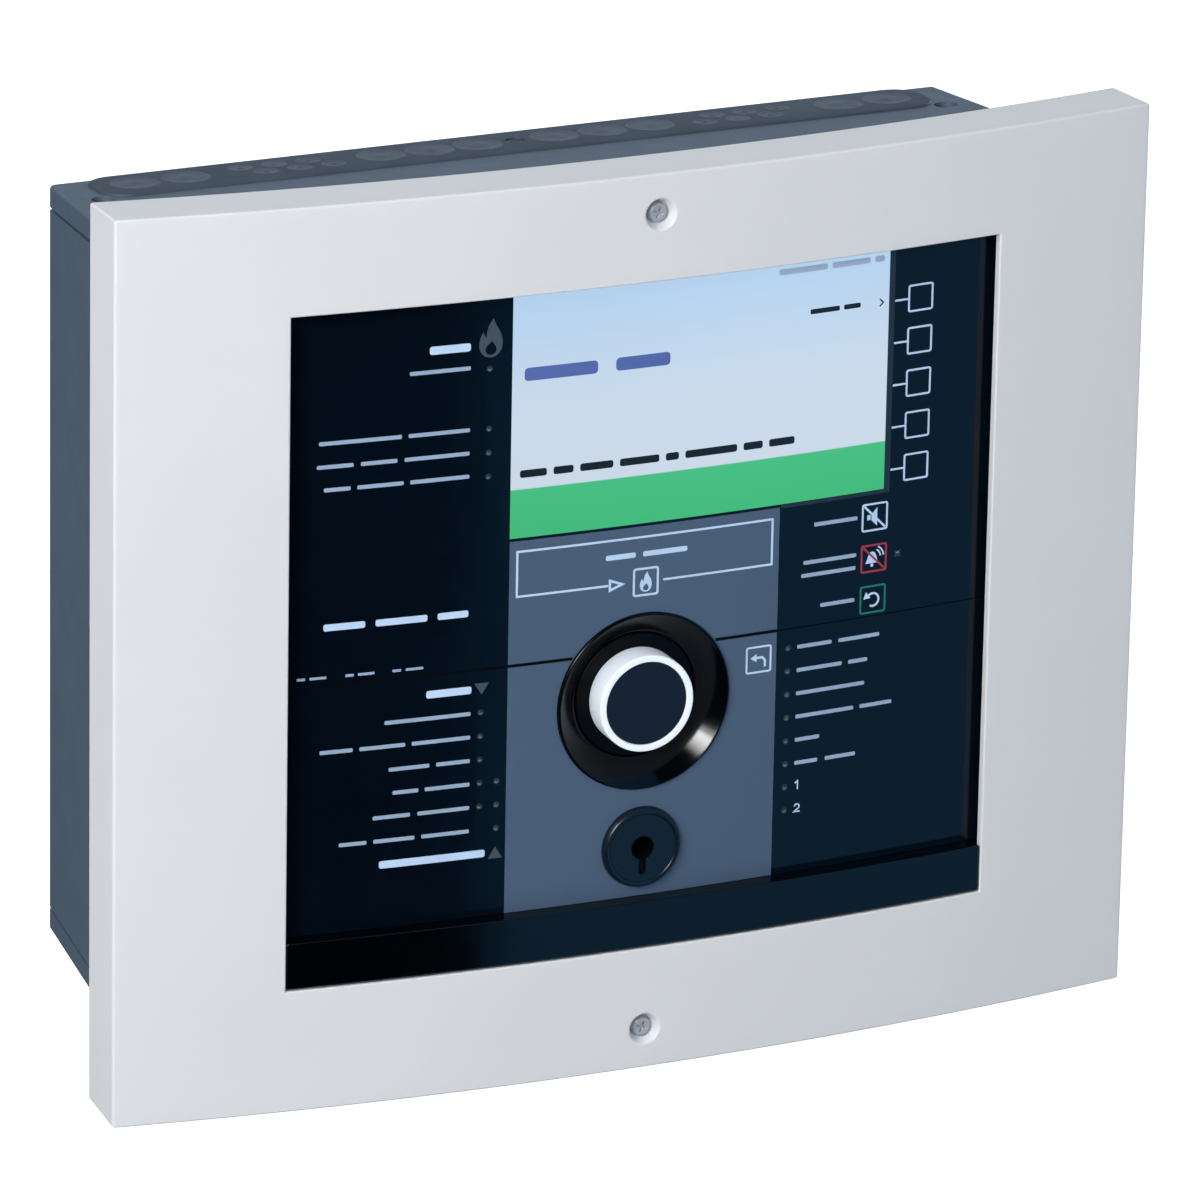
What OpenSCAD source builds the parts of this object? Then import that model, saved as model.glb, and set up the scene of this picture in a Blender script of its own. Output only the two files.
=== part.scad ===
// Wall-mounted fire alarm control panel.
// +Z is up, the front faces -Y, and the origin is the centre of the wall face.

/* [Front cover] */
// Width of the cover at its front corners
cover_w = 410; // [400:1:420]
// Height of the cover at its front corners
cover_h = 347; // [343:1:352]
// Depth of the skirt, measured back from the bowed face
cover_depth = 27; // [25:1:29]
// How far the middle of the face stands in front of its side edges
cover_bow = 16.4; // [14:0.2:17]
// Wall thickness of the cover
cover_wall = 3; // [2.5:0.5:3]
// How much narrower each side is at the back of the skirt
cover_draft = 1.3; // [0:0.1:1.5]
// Width of the window
window_w = 281; // [278:1:282]
// Top edge of the window above the centre
window_top = 132.5; // [132:0.5:133]
// Bottom edge of the window below the centre
window_bottom = 126; // [126:0.5:127]
// Height of the cover screws above and below the centre
cover_screw_z = 158; // [157:0.5:159]

/* [Back box] */
// Width at the wall
box_w = 359; // [355:1:360]
// Height at the wall
box_h = 292.4; // [291:0.2:293]
// Depth from the wall to the rim of the box
box_depth = 121; // [119:1:122]
// Sideways growth of each side per millimetre of depth
flare_x = 0.096; // [0.08:0.004:0.1]
// Growth of the top and of the bottom per millimetre of depth
flare_z = 0.069; // [0.06:0.003:0.072]
// Wall thickness of the box
box_wall = 3; // [2.5:0.5:3]
// Thickness of the top and bottom caps
cap_t = 9; // [9:0.5:9.5]
// Width between the wall screws
wall_screw_dx = 330; // [326:1:332]
// Height between the wall screws
wall_screw_dz = 240; // [230:1:242]
// Radius of the wall screw holes
wall_screw_r = 2.75; // [2.5:0.25:3]

/* [Fascia] */
// How far the fascia is set back from the cover's face
fascia_inset = 7; // [7:0.2:7.4]
// Thickness of the fascia
fascia_t = 2.5; // [2.2:0.1:2.6]
// Height of the chin bar
chin_h = 17.8; // [17:0.2:18]
// Half width of the grey centre film
film_half_w = 54; // [52:1:55]
// Top of the centre film
film_top = 37; // [36:0.5:37.5]
// Height of the seam between the upper and lower fascia
seam_z = -11; // [-11.5:0.1:-10.5]

/* [Jog wheel and lock] */
// Height of the jog wheel's centre
jog_z = -31; // [-31.5:0.5:-30.5]
// Outer radius of the dish
dish_r = 34.4; // [34:0.1:35]
// Radius of the white knob
knob_r = 18.7; // [18:0.1:19]
// How far the wheel can be pressed
jog_travel = 0.8; // [0.5:0.1:1]
// Height of the lock's centre
lock_z = -88; // [-88.5:0.5:-87.5]
// Outer radius of the lock ring
lock_r = 15.6; // [15.4:0.1:16]

/* [Hidden] */
$fn = 48;

// The cover's front corners stand this far from the wall
corner_y = 131;
// Middle of the cover's face, and the radius of its bow
face_y = -(corner_y + cover_bow);
bow_r = (cover_bow * cover_bow + cover_w * cover_w / 4) / (2 * cover_bow);
bow_fn = 720;
// Width of the lip that runs back from the window's edge
window_lip = 2.5;
big = 600;
eps = 0.01;

// Height of the rubber entry plate's centre line from the wall, and its membranes along X
entry_y = -16.4;
entry_len = 336;
entry_w = 30;
entry_corner_r = 11;
entry_proud = 1;
large_entries = [15.5, 35, 54.5, 132, 152];
small_entry_start = 75;
small_entry_pitch = 13.5;
small_row_pitch = 8.8;
cap_screw_x = 170;
cap_screw_y = -31;
cap_screw_hole_r = 1.65;
cap_screw_sink = 5;
// Half of the groove between the shell and each cap, and how deep it is cut
groove_half = 0.6;
groove_in = 1.4;
box_corner_r = 1.6;

// Magnetic catches on the right, opposite the hinges
catch_z = 60;
catch_x0 = 174;
catch_x1 = 184;
strike_y = -118;

// Hinge axis, in the gap between the box and the cover's skirt
hinge_x = -195.2;
hinge_y = -107;
hinge_z = 95;
hinge_pin_r = 2;
hinge_half = 14;
knuckle_r = 3;
ear_half = 4.6;
ear_gap = 0.4;
pin_fit = 0.06;

// Chassis plate behind the fascia
plate_front = -128;
plate_back = -125;
plate_half_w = 197;
plate_half_h = 164;

// Display opening
disp_x0 = -54;
disp_x1 = 97.3;
disp_z0 = 38.2;
module_front = -133.2;
module_back = -123.4;
module_top = 133;
module_step = 4;
fascia_half_w = 143;
fascia_top = window_top + 2.5;
chin_bottom = -window_bottom + 0.7;
chin_top = chin_bottom + chin_h;
chin_half_w = window_w / 2 - 0.4;
seam_gap = 0.15;
film_t = 0.4;

// Indicator lamps: [x, z of the first, pitch, count]
lamp_rows = [[-62.8, 104.2, 0, 1], [-62.8, 81.4, 9.15, 3], [-64.4, -27.6, 9.15, 5],
             [-57.8, -55.1, 9.15, 3], [58.8, -18.5, 9.15, 8], [103.9, 12, 0, 1]];
lamp_r = 1.2;
lamp_hole_r = 1.25;

// Touch keys: [x, z]
soft_key_x = 110.7;
soft_key_z = 110.6;
soft_key_pitch = 16.35;
icon_key_x = 93.8;
icon_key_z = 27.9;
icon_key_pitch = 16.1;
back_key = [46.7, -21.2];

// Interface board
board_x0 = -140;
board_x1 = 125;
board_z0 = -66;
board_z1 = 105;
board_front = -121.4;
board_t = 1.6;

// Jog wheel, from front to back
knob_front = face_y + 3.5;
flange_front = knob_front + 10.9;
flange_r = 23.8;
flange_t = 1.5;
jog_shaft_r = 3;
plunger_r = 5;
fit_gap = 0.05;

// The fascia and everything cut through it lies between these depths
cut_front = face_y - 3;
cut_back = -118;

// Lock
lock_front = face_y + fascia_inset - 2.6;
barrel_r = lock_r - 2.5;
lock_stem_r = 8;
lock_body_r = 11;
lock_back = -113;
keyhole_r = 4.6;
keyhole_slot = 3.1;
keyhole_drop = 10.6;
keyhole_depth = 12;
cam_len = 30;
cam_half_w = 3.5;
cam_t = 2;

// Equipment tray on its four spacers
tray_half_w = 155;
tray_z0 = -32;
tray_z1 = 102;
tray_back = -6.8;
tray_front = -8;
tray_t = 1.2;
tray_rim = 10;
tray_fix_x = 140;
tray_fix_z = [-22, 92];

// Power supply: [x, y, z] of its corners, and its vents
psu_low = [-150, -46, -26];
psu_high = [-52, tray_front, 96];
psu_step = 12;
psu_step_z0 = 74;
vent_count = 10;
vent_pitch = 8.4;
vent_w = 3;

// Main board on its standoffs
main_x0 = -44;
main_x1 = 150;
main_z0 = -26;
main_z1 = 96;
main_back = -18;
main_front = main_back - board_t;

// Field terminals and loop cards
terminal_count = 8;
terminal_x0 = -28;
terminal_pitch = 21;
terminal_w = 19.4;
terminal_z0 = 80;
terminal_top = 95;
terminal_front = -33;
way_pitch = 6.1;
card_x = [4, 44, 84];
card_front = -86;
card_socket_front = -26;
card_z0 = -16;
card_z1 = 64;

// Parts on the interface board: [low x, low z, high x, high z, height]
ui_parts = [[-120, -20, -112, 30, 7], [-96, -56, -60, -49, 7], [96, 40, 103, 78, 7], [-40, 30, 20, 80, 3]];
buzzer_x = 84;
buzzer_z = -40;
buzzer_r = 13;
buzzer_h = 9;

// Batteries
shelf_half_w = 156;
shelf_front = -76;
shelf_lip = 12;
strap_z0 = -92;
strap_z1 = -76;
strap_t = 1.5;
battery_w = 151;
battery_d = 65;
battery_h = 94;
battery_floor = -130.8;
battery_back = -7;
tab_h = 6;
tab_y = battery_back - 23.5;

colour_box = "#4c5f70";
colour_cover = "#d5d8db";
colour_smoked = "#0b1722";
colour_film = "#4c6079";
colour_black = "#101214";
colour_steel = "#b4b8ba";
colour_board = "#1f6b45";

// ---------------------------------------------------------------- shared shapes

// A solid bounded in front by the bow, set back by inset
module bow_body(inset) {
    translate([0, face_y + bow_r, 0])
        cylinder(r = bow_r - inset, h = big, center = true, $fn = bow_fn);
}

// A box given by two corners
module block(low, high) {
    translate(low) cube(high - low);
}

// A plate that follows the bow, between two insets
module bowed_plate(x0, x1, z0, z1, inset, t) {
    difference() {
        intersection() {
            block([x0, face_y - 1, z0], [x1, plate_back, z1]);
            bow_body(inset);
        }
        bow_body(inset + t);
    }
}

// A cylinder along Y, from y0 back to y1
module rod_y(r, y0, y1, x = 0, z = 0) {
    translate([x, y1, z]) rotate([90, 0, 0]) cylinder(r = r, h = y1 - y0);
}

// A thin rounded rectangle standing at y
module thin_plate(w, h, y, r) {
    translate([0, y, 0]) rotate([90, 0, 0])
        linear_extrude(eps) offset(r = r, $fn = 32) square([w - 2 * r, h - 2 * r], center = true);
}

// The outside of the back box, or its inside when inset is above zero
module flared_block(half_w, half_h, back, front, r) {
    depth = back - front;
    soft = min(2.4, r);
    hull() {
        thin_plate(2 * (half_w - soft), 2 * (half_h - soft), back, max(r - soft, 0.4));
        thin_plate(2 * half_w - 0.6 * soft, 2 * half_h - 0.6 * soft, back - 0.3 * soft, r);
        thin_plate(2 * (half_w + flare_x * soft), 2 * (half_h + flare_z * soft), back - soft, r);
        thin_plate(2 * (half_w + flare_x * depth), 2 * (half_h + flare_z * depth), front + eps, r);
    }
}

module box_outside() flared_block(box_w / 2, box_h / 2, 0, -box_depth, box_corner_r);

// Everything above the seam of the top cap (side = 1) or below that of the bottom cap (side = -1)
module beyond_seam(side, gap) {
    mirror([0, 0, side < 0 ? 1 : 0])
        translate([0, 0, box_h / 2 - cap_t + gap]) rotate([-atan(flare_z), 0, 0])
            translate([-big / 2, -big / 2, 0]) cube([big, big, 100]);
}

// Moves children to the sloping face of the top cap, with Z square to it
module on_cap(side) {
    mirror([0, 0, side < 0 ? 1 : 0])
        translate([0, 0, box_h / 2]) rotate([-atan(flare_z), 0, 0]) children();
}

// A slab on the top cap with the entry plate's outline, drawn in by inset
module entry_slab(inset, z0, z1) {
    half_l = entry_len / 2 - inset;
    half_w = entry_w / 2 - inset;
    r = entry_corner_r - inset;
    translate([0, entry_y, z0]) {
        for (x = [r - half_l, half_l - r], y = [r - half_w, half_w - r])
            translate([x, y, 0]) cylinder(r = r, h = z1 - z0);
        translate([-half_l, r - half_w, 0]) cube([2 * half_l, 2 * (half_w - r), z1 - z0]);
        translate([r - half_l, -half_w, 0]) cube([2 * (half_l - r), 2 * half_w, z1 - z0]);
    }
}

module corners(dx, dz) {
    for (x = [-dx / 2, dx / 2], z = [-dz / 2, dz / 2]) translate([x, 0, z]) children();
}

// ---------------------------------------------------------------- back box

module rear_shell() {
    inner_h = box_h / 2 - cap_t - box_wall;
    knuckle_len = hinge_half - ear_half - ear_gap;
    color(colour_box) difference() {
        union() {
            difference() {
                box_outside();
                beyond_seam(1, -groove_half);
                beyond_seam(-1, -groove_half);
                flared_block(box_w / 2 - box_wall, inner_h, -box_wall, -box_depth - 2, 2.5);
            }
            for (z = [-hinge_z, hinge_z], low = [-hinge_half, ear_half + ear_gap])
                translate([hinge_x, hinge_y, z + low]) {
                    cylinder(r = knuckle_r, h = knuckle_len);
                    translate([0, -knuckle_r, 0]) cube([6.5, 2 * knuckle_r, knuckle_len]);
                }
            for (z = [-catch_z, catch_z])
                block([catch_x0 - 1, strike_y, z - 16], [box_w / 2 + 9, strike_y + 5, z + 16]);
        }
        on_cap(1) entry_slab(3, -cap_t - 8, 1);
        corners(wall_screw_dx, wall_screw_dz) rod_y(wall_screw_r, -box_wall - 1, 1);
        cap_screw_points() translate([0, 0, -cap_t - 6]) cylinder(r = cap_screw_hole_r, h = 12);
        translate([hinge_x, hinge_y, 0])
            cylinder(r = hinge_pin_r + 0.02, h = 2 * hinge_z + 4 * hinge_half, center = true);
    }
}

module cap_screw_points() {
    for (side = [-1, 1], x = [-cap_screw_x, cap_screw_x])
        on_cap(side) translate([x, cap_screw_y, 0]) children();
}

// One end cap, with a groove all round where it meets the shell
module end_cap(side) {
    difference() {
        union() {
            intersection() {
                box_outside();
                beyond_seam(side, groove_half);
            }
            intersection() {
                flared_block(box_w / 2 - groove_in, box_h / 2 - groove_in,
                             -groove_in, groove_in - box_depth, box_corner_r);
                beyond_seam(side, -groove_half);
            }
        }
        cap_screw_points() {
            translate([0, 0, -cap_t - 2]) cylinder(r = cap_screw_hole_r, h = cap_t + 4);
            translate([0, 0, -cap_screw_sink]) cylinder(r = 4.6, h = cap_screw_sink + 3);
        }
        if (side > 0) on_cap(1) entry_slab(2.8, -cap_t - 2, 3);
    }
}

module top_cap() color(colour_box) end_cap(1);

module bottom_cap() color(colour_box) end_cap(-1);

module cap_screws() color(colour_steel) cap_screw_points() {
    translate([0, 0, -14]) cylinder(r = cap_screw_hole_r - 0.05, h = 14 - cap_screw_sink + 2);
    difference() {
        translate([0, 0, -cap_screw_sink]) cylinder(r1 = 2.8, r2 = 4, h = 2.4);
        for (a = [0, 90]) rotate([0, 0, a])
            translate([-2.2, -0.35, 1.4 - cap_screw_sink]) cube([4.4, 0.7, 2]);
    }
}

module large_entry_points() {
    for (s = [-1, 1], x = large_entries) translate([s * x, entry_y, 0]) children();
}

// Small entries in two staggered rows
module small_entry_points() {
    for (s = [-1, 1], i = [0:2], row = [0, 1])
        translate([s * (small_entry_start + (i + row / 2) * small_entry_pitch),
                   entry_y + (row - 0.5) * small_row_pitch, 0]) children();
}

module cable_entry_plate() color("#37434f") on_cap(1) difference() {
    union() {
        entry_slab(0, eps, entry_proud);
        entry_slab(3.2, -3.6, entry_proud - 0.2);
    }
    large_entry_points() difference() {
        translate([0, 0, entry_proud - 0.6]) cylinder(r = 8.4, h = 2);
        cylinder(r = 5.4, h = 3, center = true);
    }
    small_entry_points() translate([0, 0, entry_proud - 0.6]) cylinder(r = 4, h = 2);
    translate([0, entry_y + 1, -5]) cylinder(r = 1.9, h = 8);
    translate([0, entry_y + 1, -0.8]) cylinder(r = 3.7, h = 4);
}

module entry_plate_screw() color(colour_steel) on_cap(1) translate([0, entry_y + 1, 0]) {
    translate([0, 0, -3.4]) cylinder(r = 1.8, h = 3);
    difference() {
        translate([0, 0, -0.8 + eps]) cylinder(r = 3.4, h = 1.2);
        translate([-2.4, -0.4, 0]) cube([4.8, 0.8, 2]);
    }
}

module hinge_pins() color(colour_steel)
    for (z = [-hinge_z, hinge_z])
        translate([hinge_x, hinge_y, z]) cylinder(r = hinge_pin_r, h = 2 * hinge_half, center = true);

module strike_plates() color(colour_steel)
    for (z = [-catch_z, catch_z])
        block([catch_x0, strike_y - 1.6, z - 14], [catch_x1 + 1, strike_y, z + 14]);

module earth_stud() color("#c9a94a") {
    rod_y(4.5, -6, -box_wall, 165, 60);
    rod_y(2.4, -18, -6, 165, 60);
}

// ---------------------------------------------------------------- equipment inside the box

module tray_fixings() {
    for (x = [-tray_fix_x, tray_fix_x], z = tray_fix_z) translate([x, 0, z]) children();
}

module gear_tray() color(colour_steel) difference() {
    union() {
        block([-tray_half_w, tray_front, tray_z0], [tray_half_w, tray_back, tray_z1]);
        for (x = [-tray_half_w, tray_half_w - tray_t])
            block([x, tray_front - tray_rim, tray_z0], [x + tray_t, tray_front, tray_z1]);
        tray_fixings() rod_y(5, tray_back, -box_wall);
    }
    tray_fixings() rod_y(2, tray_front - 1, tray_back + 1.8);
}

module power_supply() color("#9fa5a8") difference() {
    union() {
        block(psu_low, psu_high);
        block([psu_low[0] + 4, psu_low[1] - psu_step, psu_step_z0],
              [psu_high[0] - 4, psu_low[1], psu_high[2] - 4]);
    }
    for (i = [0:vent_count - 1])
        block([psu_low[0] + 10 + i * vent_pitch, psu_low[1] - 1, psu_low[2] + 14],
              [psu_low[0] + 10 + i * vent_pitch + vent_w, psu_low[1] + 3, psu_step_z0 - 14]);
}

module main_fixings() {
    for (x = [main_x0 + 6, main_x1 - 6], z = [main_z0 + 6, main_z1 - 6]) translate([x, 0, z]) children();
}

module main_board() color(colour_board) difference() {
    block([main_x0, main_front, main_z0], [main_x1, main_back, main_z1]);
    main_fixings() rod_y(1.7, main_front - 1, main_back + 1);
}

module board_standoffs() color("#c9a94a") main_fixings() {
    rod_y(3, main_back, tray_front);
    rod_y(1.6, main_front, main_back);
    rod_y(3, main_front - 2, main_front);
}

// Each terminal has three wire ways at its foot and three clamps on top
module terminal_blocks() color("#2f8f4e") for (i = [0:terminal_count - 1]) {
    x = terminal_x0 + i * terminal_pitch;
    clamp_back = terminal_front + 6;
    difference() {
        block([x, terminal_front, terminal_z0], [x + terminal_w, main_front, terminal_top]);
        for (k = [0:2])
            rod_y(2.1, terminal_front - 1, clamp_back, x + 3.6 + k * way_pitch, terminal_z0 + 4.5);
        for (k = [0:2])
            block([x + 1.4 + k * way_pitch, clamp_back, terminal_top - 5],
                  [x + 5.8 + k * way_pitch, main_front - 2, terminal_top + 1]);
    }
}

// Cards that stand in sockets on the main board, each with a chip and a plug
module loop_cards() for (x = card_x) {
    side = x + board_t;
    color("#1d1f22") block([x - 3, card_socket_front, card_z0 + 2], [x + 4.6, main_front, card_z1 - 2]);
    color(colour_board) block([x, card_front, card_z0], [side, card_socket_front, card_z1]);
    color("#1d1f22") block([side, card_front + 16, card_z0 + 16], [side + 3.4, card_front + 34, card_z0 + 34]);
    color("#2f8f4e") block([side, card_front + 2, card_z1 - 38], [side + 8.4, card_front + 18, card_z1 - 4]);
}

module battery_shelf() color(colour_steel) {
    block([-shelf_half_w, shelf_front, battery_floor - tray_t], [shelf_half_w, -box_wall, battery_floor]);
    block([-shelf_half_w, shelf_front - tray_t, battery_floor - tray_t],
          [shelf_half_w, shelf_front, battery_floor + shelf_lip]);
}

// One sealed battery with its two tabs, its inner side at x0
module battery(x0) {
    color("#3a3d42") difference() {
        block([x0, battery_back - battery_d, battery_floor],
              [x0 + battery_w, battery_back, battery_floor + battery_h]);
        block([x0 + 12, battery_back - battery_d + 6, battery_floor + battery_h - 1.2],
              [x0 + battery_w - 12, battery_back - 6, battery_floor + battery_h + 1]);
    }
    color("#c9a94a") for (x = [x0 + 14, x0 + battery_w - 20])
        block([x, tab_y - 0.5, battery_floor + battery_h - 1.2],
              [x + 6, tab_y + 0.5, battery_floor + battery_h + tab_h]);
}

module battery_left() battery(-battery_w - 1);

module battery_right() battery(1);

module battery_strap() color(colour_steel) {
    front = battery_back - battery_d - 0.3;
    outer = shelf_half_w + strap_t;
    block([-outer, front - strap_t, strap_z0], [outer, front, strap_z1]);
    for (x = [-outer, shelf_half_w]) block([x, front, strap_z0], [x + strap_t, -box_wall, strap_z1]);
}

// Lead between the inner battery tabs, bent in a flat arch
module battery_link_lead() color("#8c1f1f") {
    half = 18;
    rise = 5;
    bend = 5;
    r = 1.6;
    translate([0, tab_y, battery_floor + battery_h + tab_h]) {
        for (s = [-1, 1]) {
            translate([s * half, 0, 0]) cylinder(r = r, h = rise);
            translate([s * (half - bend), 0, rise]) rotate([90, 0, 0])
                rotate([0, 0, s > 0 ? 0 : 90]) rotate_extrude(angle = 90) translate([bend, 0]) circle(r = r);
        }
        translate([0, 0, rise + bend]) rotate([0, 90, 0]) cylinder(r = r, h = 2 * (half - bend), center = true);
    }
}

// ---------------------------------------------------------------- user interface

module lamp_points() {
    for (row = lamp_rows, i = [0:row[3] - 1]) translate([row[0], 0, row[1] - i * row[2]]) children();
}

module board_posts() {
    for (x = [board_x0 + 6, board_x1 - 6], z = [board_z0 + 6, board_z1 - 6])
        translate([x, 0, z]) children();
}

// The chassis plate, the ring that backs the fascia's edge, the board's posts and the hinge ears
module ui_chassis() color(colour_black) difference() {
    ring_half_w = 138;
    ring_t = 4;
    union() {
        block([-plate_half_w, plate_front, -plate_half_h], [plate_half_w, plate_back, plate_half_h]);
        difference() {
            intersection() {
                block([-ring_half_w, face_y, chin_top + 2], [ring_half_w, plate_front + 1, fascia_top]);
                bow_body(fascia_inset + fascia_t);
            }
            block([ring_t - ring_half_w, cut_front, chin_top + 2 + ring_t],
                  [ring_half_w - ring_t, plate_front + 1, module_top + 0.4]);
        }
        board_posts() rod_y(3.4, plate_back - 1, board_front);
        for (z = [-hinge_z, hinge_z]) {
            block([-plate_half_w - 1.2, plate_front, z - ear_half], [hinge_x + 2.9, hinge_y, z + ear_half]);
            translate([hinge_x, hinge_y, z - ear_half]) cylinder(r = knuckle_r, h = 2 * ear_half);
        }
    }
    module_tail(1);
    rod_y(12, cut_front, cut_back, 0, jog_z);
    rod_y(lock_body_r + 0.1, cut_front, cut_back, 0, lock_z);
    for (z = [-cover_screw_z, cover_screw_z]) rod_y(2.2, cut_front, cut_back, 0, z);
    board_posts() rod_y(1.3, plate_back, cut_back);
    translate([hinge_x, hinge_y, 0])
        cylinder(r = hinge_pin_r + pin_fit, h = 2 * hinge_z + 4 * hinge_half, center = true);
}

// The narrower back of the display module, which goes through the chassis
module module_tail(grow) {
    low = module_step - grow;
    block([disp_x0 + low, plate_front - grow, disp_z0 + low],
          [disp_x1 - low, module_back + grow, module_top - 2 * module_step - 1 + grow]);
}

// The smoked fascia between two heights, with every opening
module fascia(z0, z1) {
    difference() {
        bowed_plate(-fascia_half_w, fascia_half_w, z0, z1, fascia_inset, fascia_t);
        block([disp_x0 - 0.1, cut_front, disp_z0 - 0.1], [disp_x1 + 0.1, cut_back, fascia_top + 1]);
        intersection() {
            block([-film_half_w - 0.1, cut_front, chin_bottom], [film_half_w + 0.1, cut_back, film_top + 0.1]);
            difference() {
                bow_body(0);
                bow_body(fascia_inset + film_t);
            }
        }
        rod_y(dish_r - 1.9, cut_front, cut_back, 0, jog_z);
        rod_y(lock_body_r + 0.1, cut_front, cut_back, 0, lock_z);
        lamp_points() rod_y(lamp_hole_r, cut_front, cut_back);
    }
}

module fascia_upper() color(colour_smoked) fascia(seam_z + seam_gap, fascia_top);

module fascia_lower() color(colour_smoked) fascia(chin_top + seam_gap, seam_z - seam_gap);

// The grey film on the fascia between two heights
module centre_film(z0, z1) {
    difference() {
        bowed_plate(-film_half_w, film_half_w, z0, z1, fascia_inset, film_t);
        rod_y(dish_r + 0.1, cut_front, cut_back, 0, jog_z);
        rod_y(lock_r + 0.1, cut_front, cut_back, 0, lock_z);
    }
}

module centre_film_upper() color(colour_film) centre_film(seam_z + seam_gap, film_top);

module centre_film_lower() color(colour_film) centre_film(chin_top + seam_gap, seam_z - seam_gap);

module display_pane() color("#b9cfe6")
    bowed_plate(disp_x0, disp_x1, disp_z0, fascia_top, fascia_inset, 1.9);

module display_module() color("#2a2d30") {
    difference() {
        block([disp_x0 - 4, module_front, disp_z0 - 4], [disp_x1 + 4, plate_front, module_top]);
        block([disp_x0, module_front - 1, disp_z0], [disp_x1, module_front + 0.3, module_top - 4]);
    }
    module_tail(0);
}

module indicator_lenses() color("#9aa0a4") intersection() {
    lamp_points() rod_y(lamp_r, face_y, plate_front);
    bow_body(fascia_inset - 0.05);
}

module key_switches() color(colour_black) {
    for (i = [0:4]) key_switch(soft_key_x, soft_key_z - i * soft_key_pitch);
    for (i = [0:2]) key_switch(icon_key_x, icon_key_z - i * icon_key_pitch);
    key_switch(back_key[0], back_key[1]);
}

// A switch on the chassis plate, whose stem ends just behind the fascia
module key_switch(x, z) {
    body_front = plate_front - 2.5;
    bow_back = x * x / (2 * bow_r);
    translate([x, 0, z]) {
        block([-3.5, body_front, -3.5], [3.5, plate_front, 3.5]);
        rod_y(1.7, face_y + fascia_inset + fascia_t + bow_back + 0.3, body_front);
    }
}

module chin_bar() color(colour_smoked) intersection() {
    block([-chin_half_w, cut_front, chin_bottom], [chin_half_w, plate_front, chin_top]);
    bow_body(0.3);
}

module jog_dish() color(colour_black) translate([0, 0, jog_z]) rotate([-90, 0, 0]) rotate_extrude($fn = 96)
    polygon([
        [24.2, flange_front + 2.6], [24.2, flange_front + 0.4], [25.2, flange_front - 0.2],
        [33.2, face_y + fascia_inset - 0.9], [33.7, face_y + fascia_inset - 1.05],
        [34.2, face_y + fascia_inset - 0.8], [dish_r, face_y + fascia_inset - 0.4],
        [dish_r, face_y + fascia_inset + 0.38],
        [32.3, face_y + fascia_inset + 0.38], [32.3, face_y + fascia_inset + 2.6],
        [28, flange_front + 2.6]
    ]);

module encoder() color("#8d9296") difference() {
    union() {
        rod_y(9, plate_front + 0.5, board_front, 0, jog_z);
        rod_y(7, plate_front - 2, plate_front + 0.5, 0, jog_z);
    }
    rod_y(plunger_r + fit_gap, plate_front - 3, board_front + 1, 0, jog_z);
}

module jog_plunger() color("#d8d8d4") difference() {
    rod_y(plunger_r, plate_front - 1.5, board_front - jog_travel - 0.4, 0, jog_z);
    rod_y(jog_shaft_r + fit_gap, plate_front - 4, board_front, 0, jog_z);
}

module jog_shaft() color(colour_steel) {
    rod_y(jog_shaft_r, flange_front + flange_t, board_front - jog_travel - 0.6, 0, jog_z);
}

module jog_flange() color(colour_black) difference() {
    rod_y(flange_r, flange_front, flange_front + flange_t, 0, jog_z);
    rod_y(knob_r - 2.6, flange_front - 1, flange_front + flange_t - 0.6, 0, jog_z);
}

// The cap sits in the open front of the knob
module jog_knob() color("#e9edf2") translate([0, 0, jog_z]) rotate([-90, 0, 0]) rotate_extrude($fn = 96)
    polygon([
        [16.1, knob_front + 3], [16.1, knob_front + 0.5], [16.5, knob_front + 0.1], [17.2, knob_front],
        [17.9, knob_front + 0.1], [18.5, knob_front + 0.6], [knob_r, knob_front + 1.3],
        [knob_r, flange_front], [knob_r - 2.6, flange_front], [knob_r - 2.6, knob_front + 3]
    ]);

module jog_cap() color("#1c2733") translate([0, 0, jog_z]) rotate([-90, 0, 0]) rotate_extrude($fn = 96)
    polygon([
        [0, knob_front + 1.1], [10, knob_front + 0.9], [15.4, knob_front + 0.6], [16, knob_front + 0.9],
        [16, flange_front + flange_t - 0.6], [14.6, flange_front + flange_t - 0.6],
        [14.6, knob_front + 3], [0, knob_front + 3]
    ]);

module lock_ring() color(colour_black) translate([0, 0, lock_z]) rotate([-90, 0, 0])
    rotate_extrude($fn = 96) polygon([
        [barrel_r + fit_gap, lock_front + 2], [barrel_r + fit_gap, lock_front + 0.8],
        [barrel_r + 0.4, lock_front + 0.2], [barrel_r + 1.2, lock_front],
        [lock_r - 0.7, lock_front + 0.3], [lock_r, lock_front + 1.2], [lock_r, lock_front + 3],
        [lock_body_r, lock_front + 3], [lock_body_r, lock_front + 4.4],
        [lock_stem_r + 0.5, lock_front + 4.4], [lock_stem_r + 0.5, lock_front + 2]
    ]);

module lock_barrel() color("#15181b") difference() {
    union() {
        rod_y(barrel_r, lock_front + 0.5, lock_front + 1.9, 0, lock_z);
        rod_y(lock_stem_r, lock_front + 1.9, lock_back, 0, lock_z);
    }
    rod_y(keyhole_r, lock_front - 1, lock_front + keyhole_depth, 0, lock_z);
    block([-keyhole_slot / 2, lock_front - 1, lock_z - keyhole_drop + keyhole_slot / 2],
          [keyhole_slot / 2, lock_front + 2.1, lock_z]);
    rod_y(keyhole_slot / 2, lock_front - 1, lock_front + 2.1, 0, lock_z - keyhole_drop + keyhole_slot / 2);
    block([-keyhole_slot / 2, lock_front, lock_z - lock_stem_r + 1.4],
          [keyhole_slot / 2, lock_front + keyhole_depth, lock_z]);
}

module lock_body() color(colour_steel) difference() {
    rod_y(lock_body_r, lock_front + 4.5, lock_back - 1, 0, lock_z);
    rod_y(lock_stem_r + fit_gap, cut_front, lock_back, 0, lock_z);
}

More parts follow.
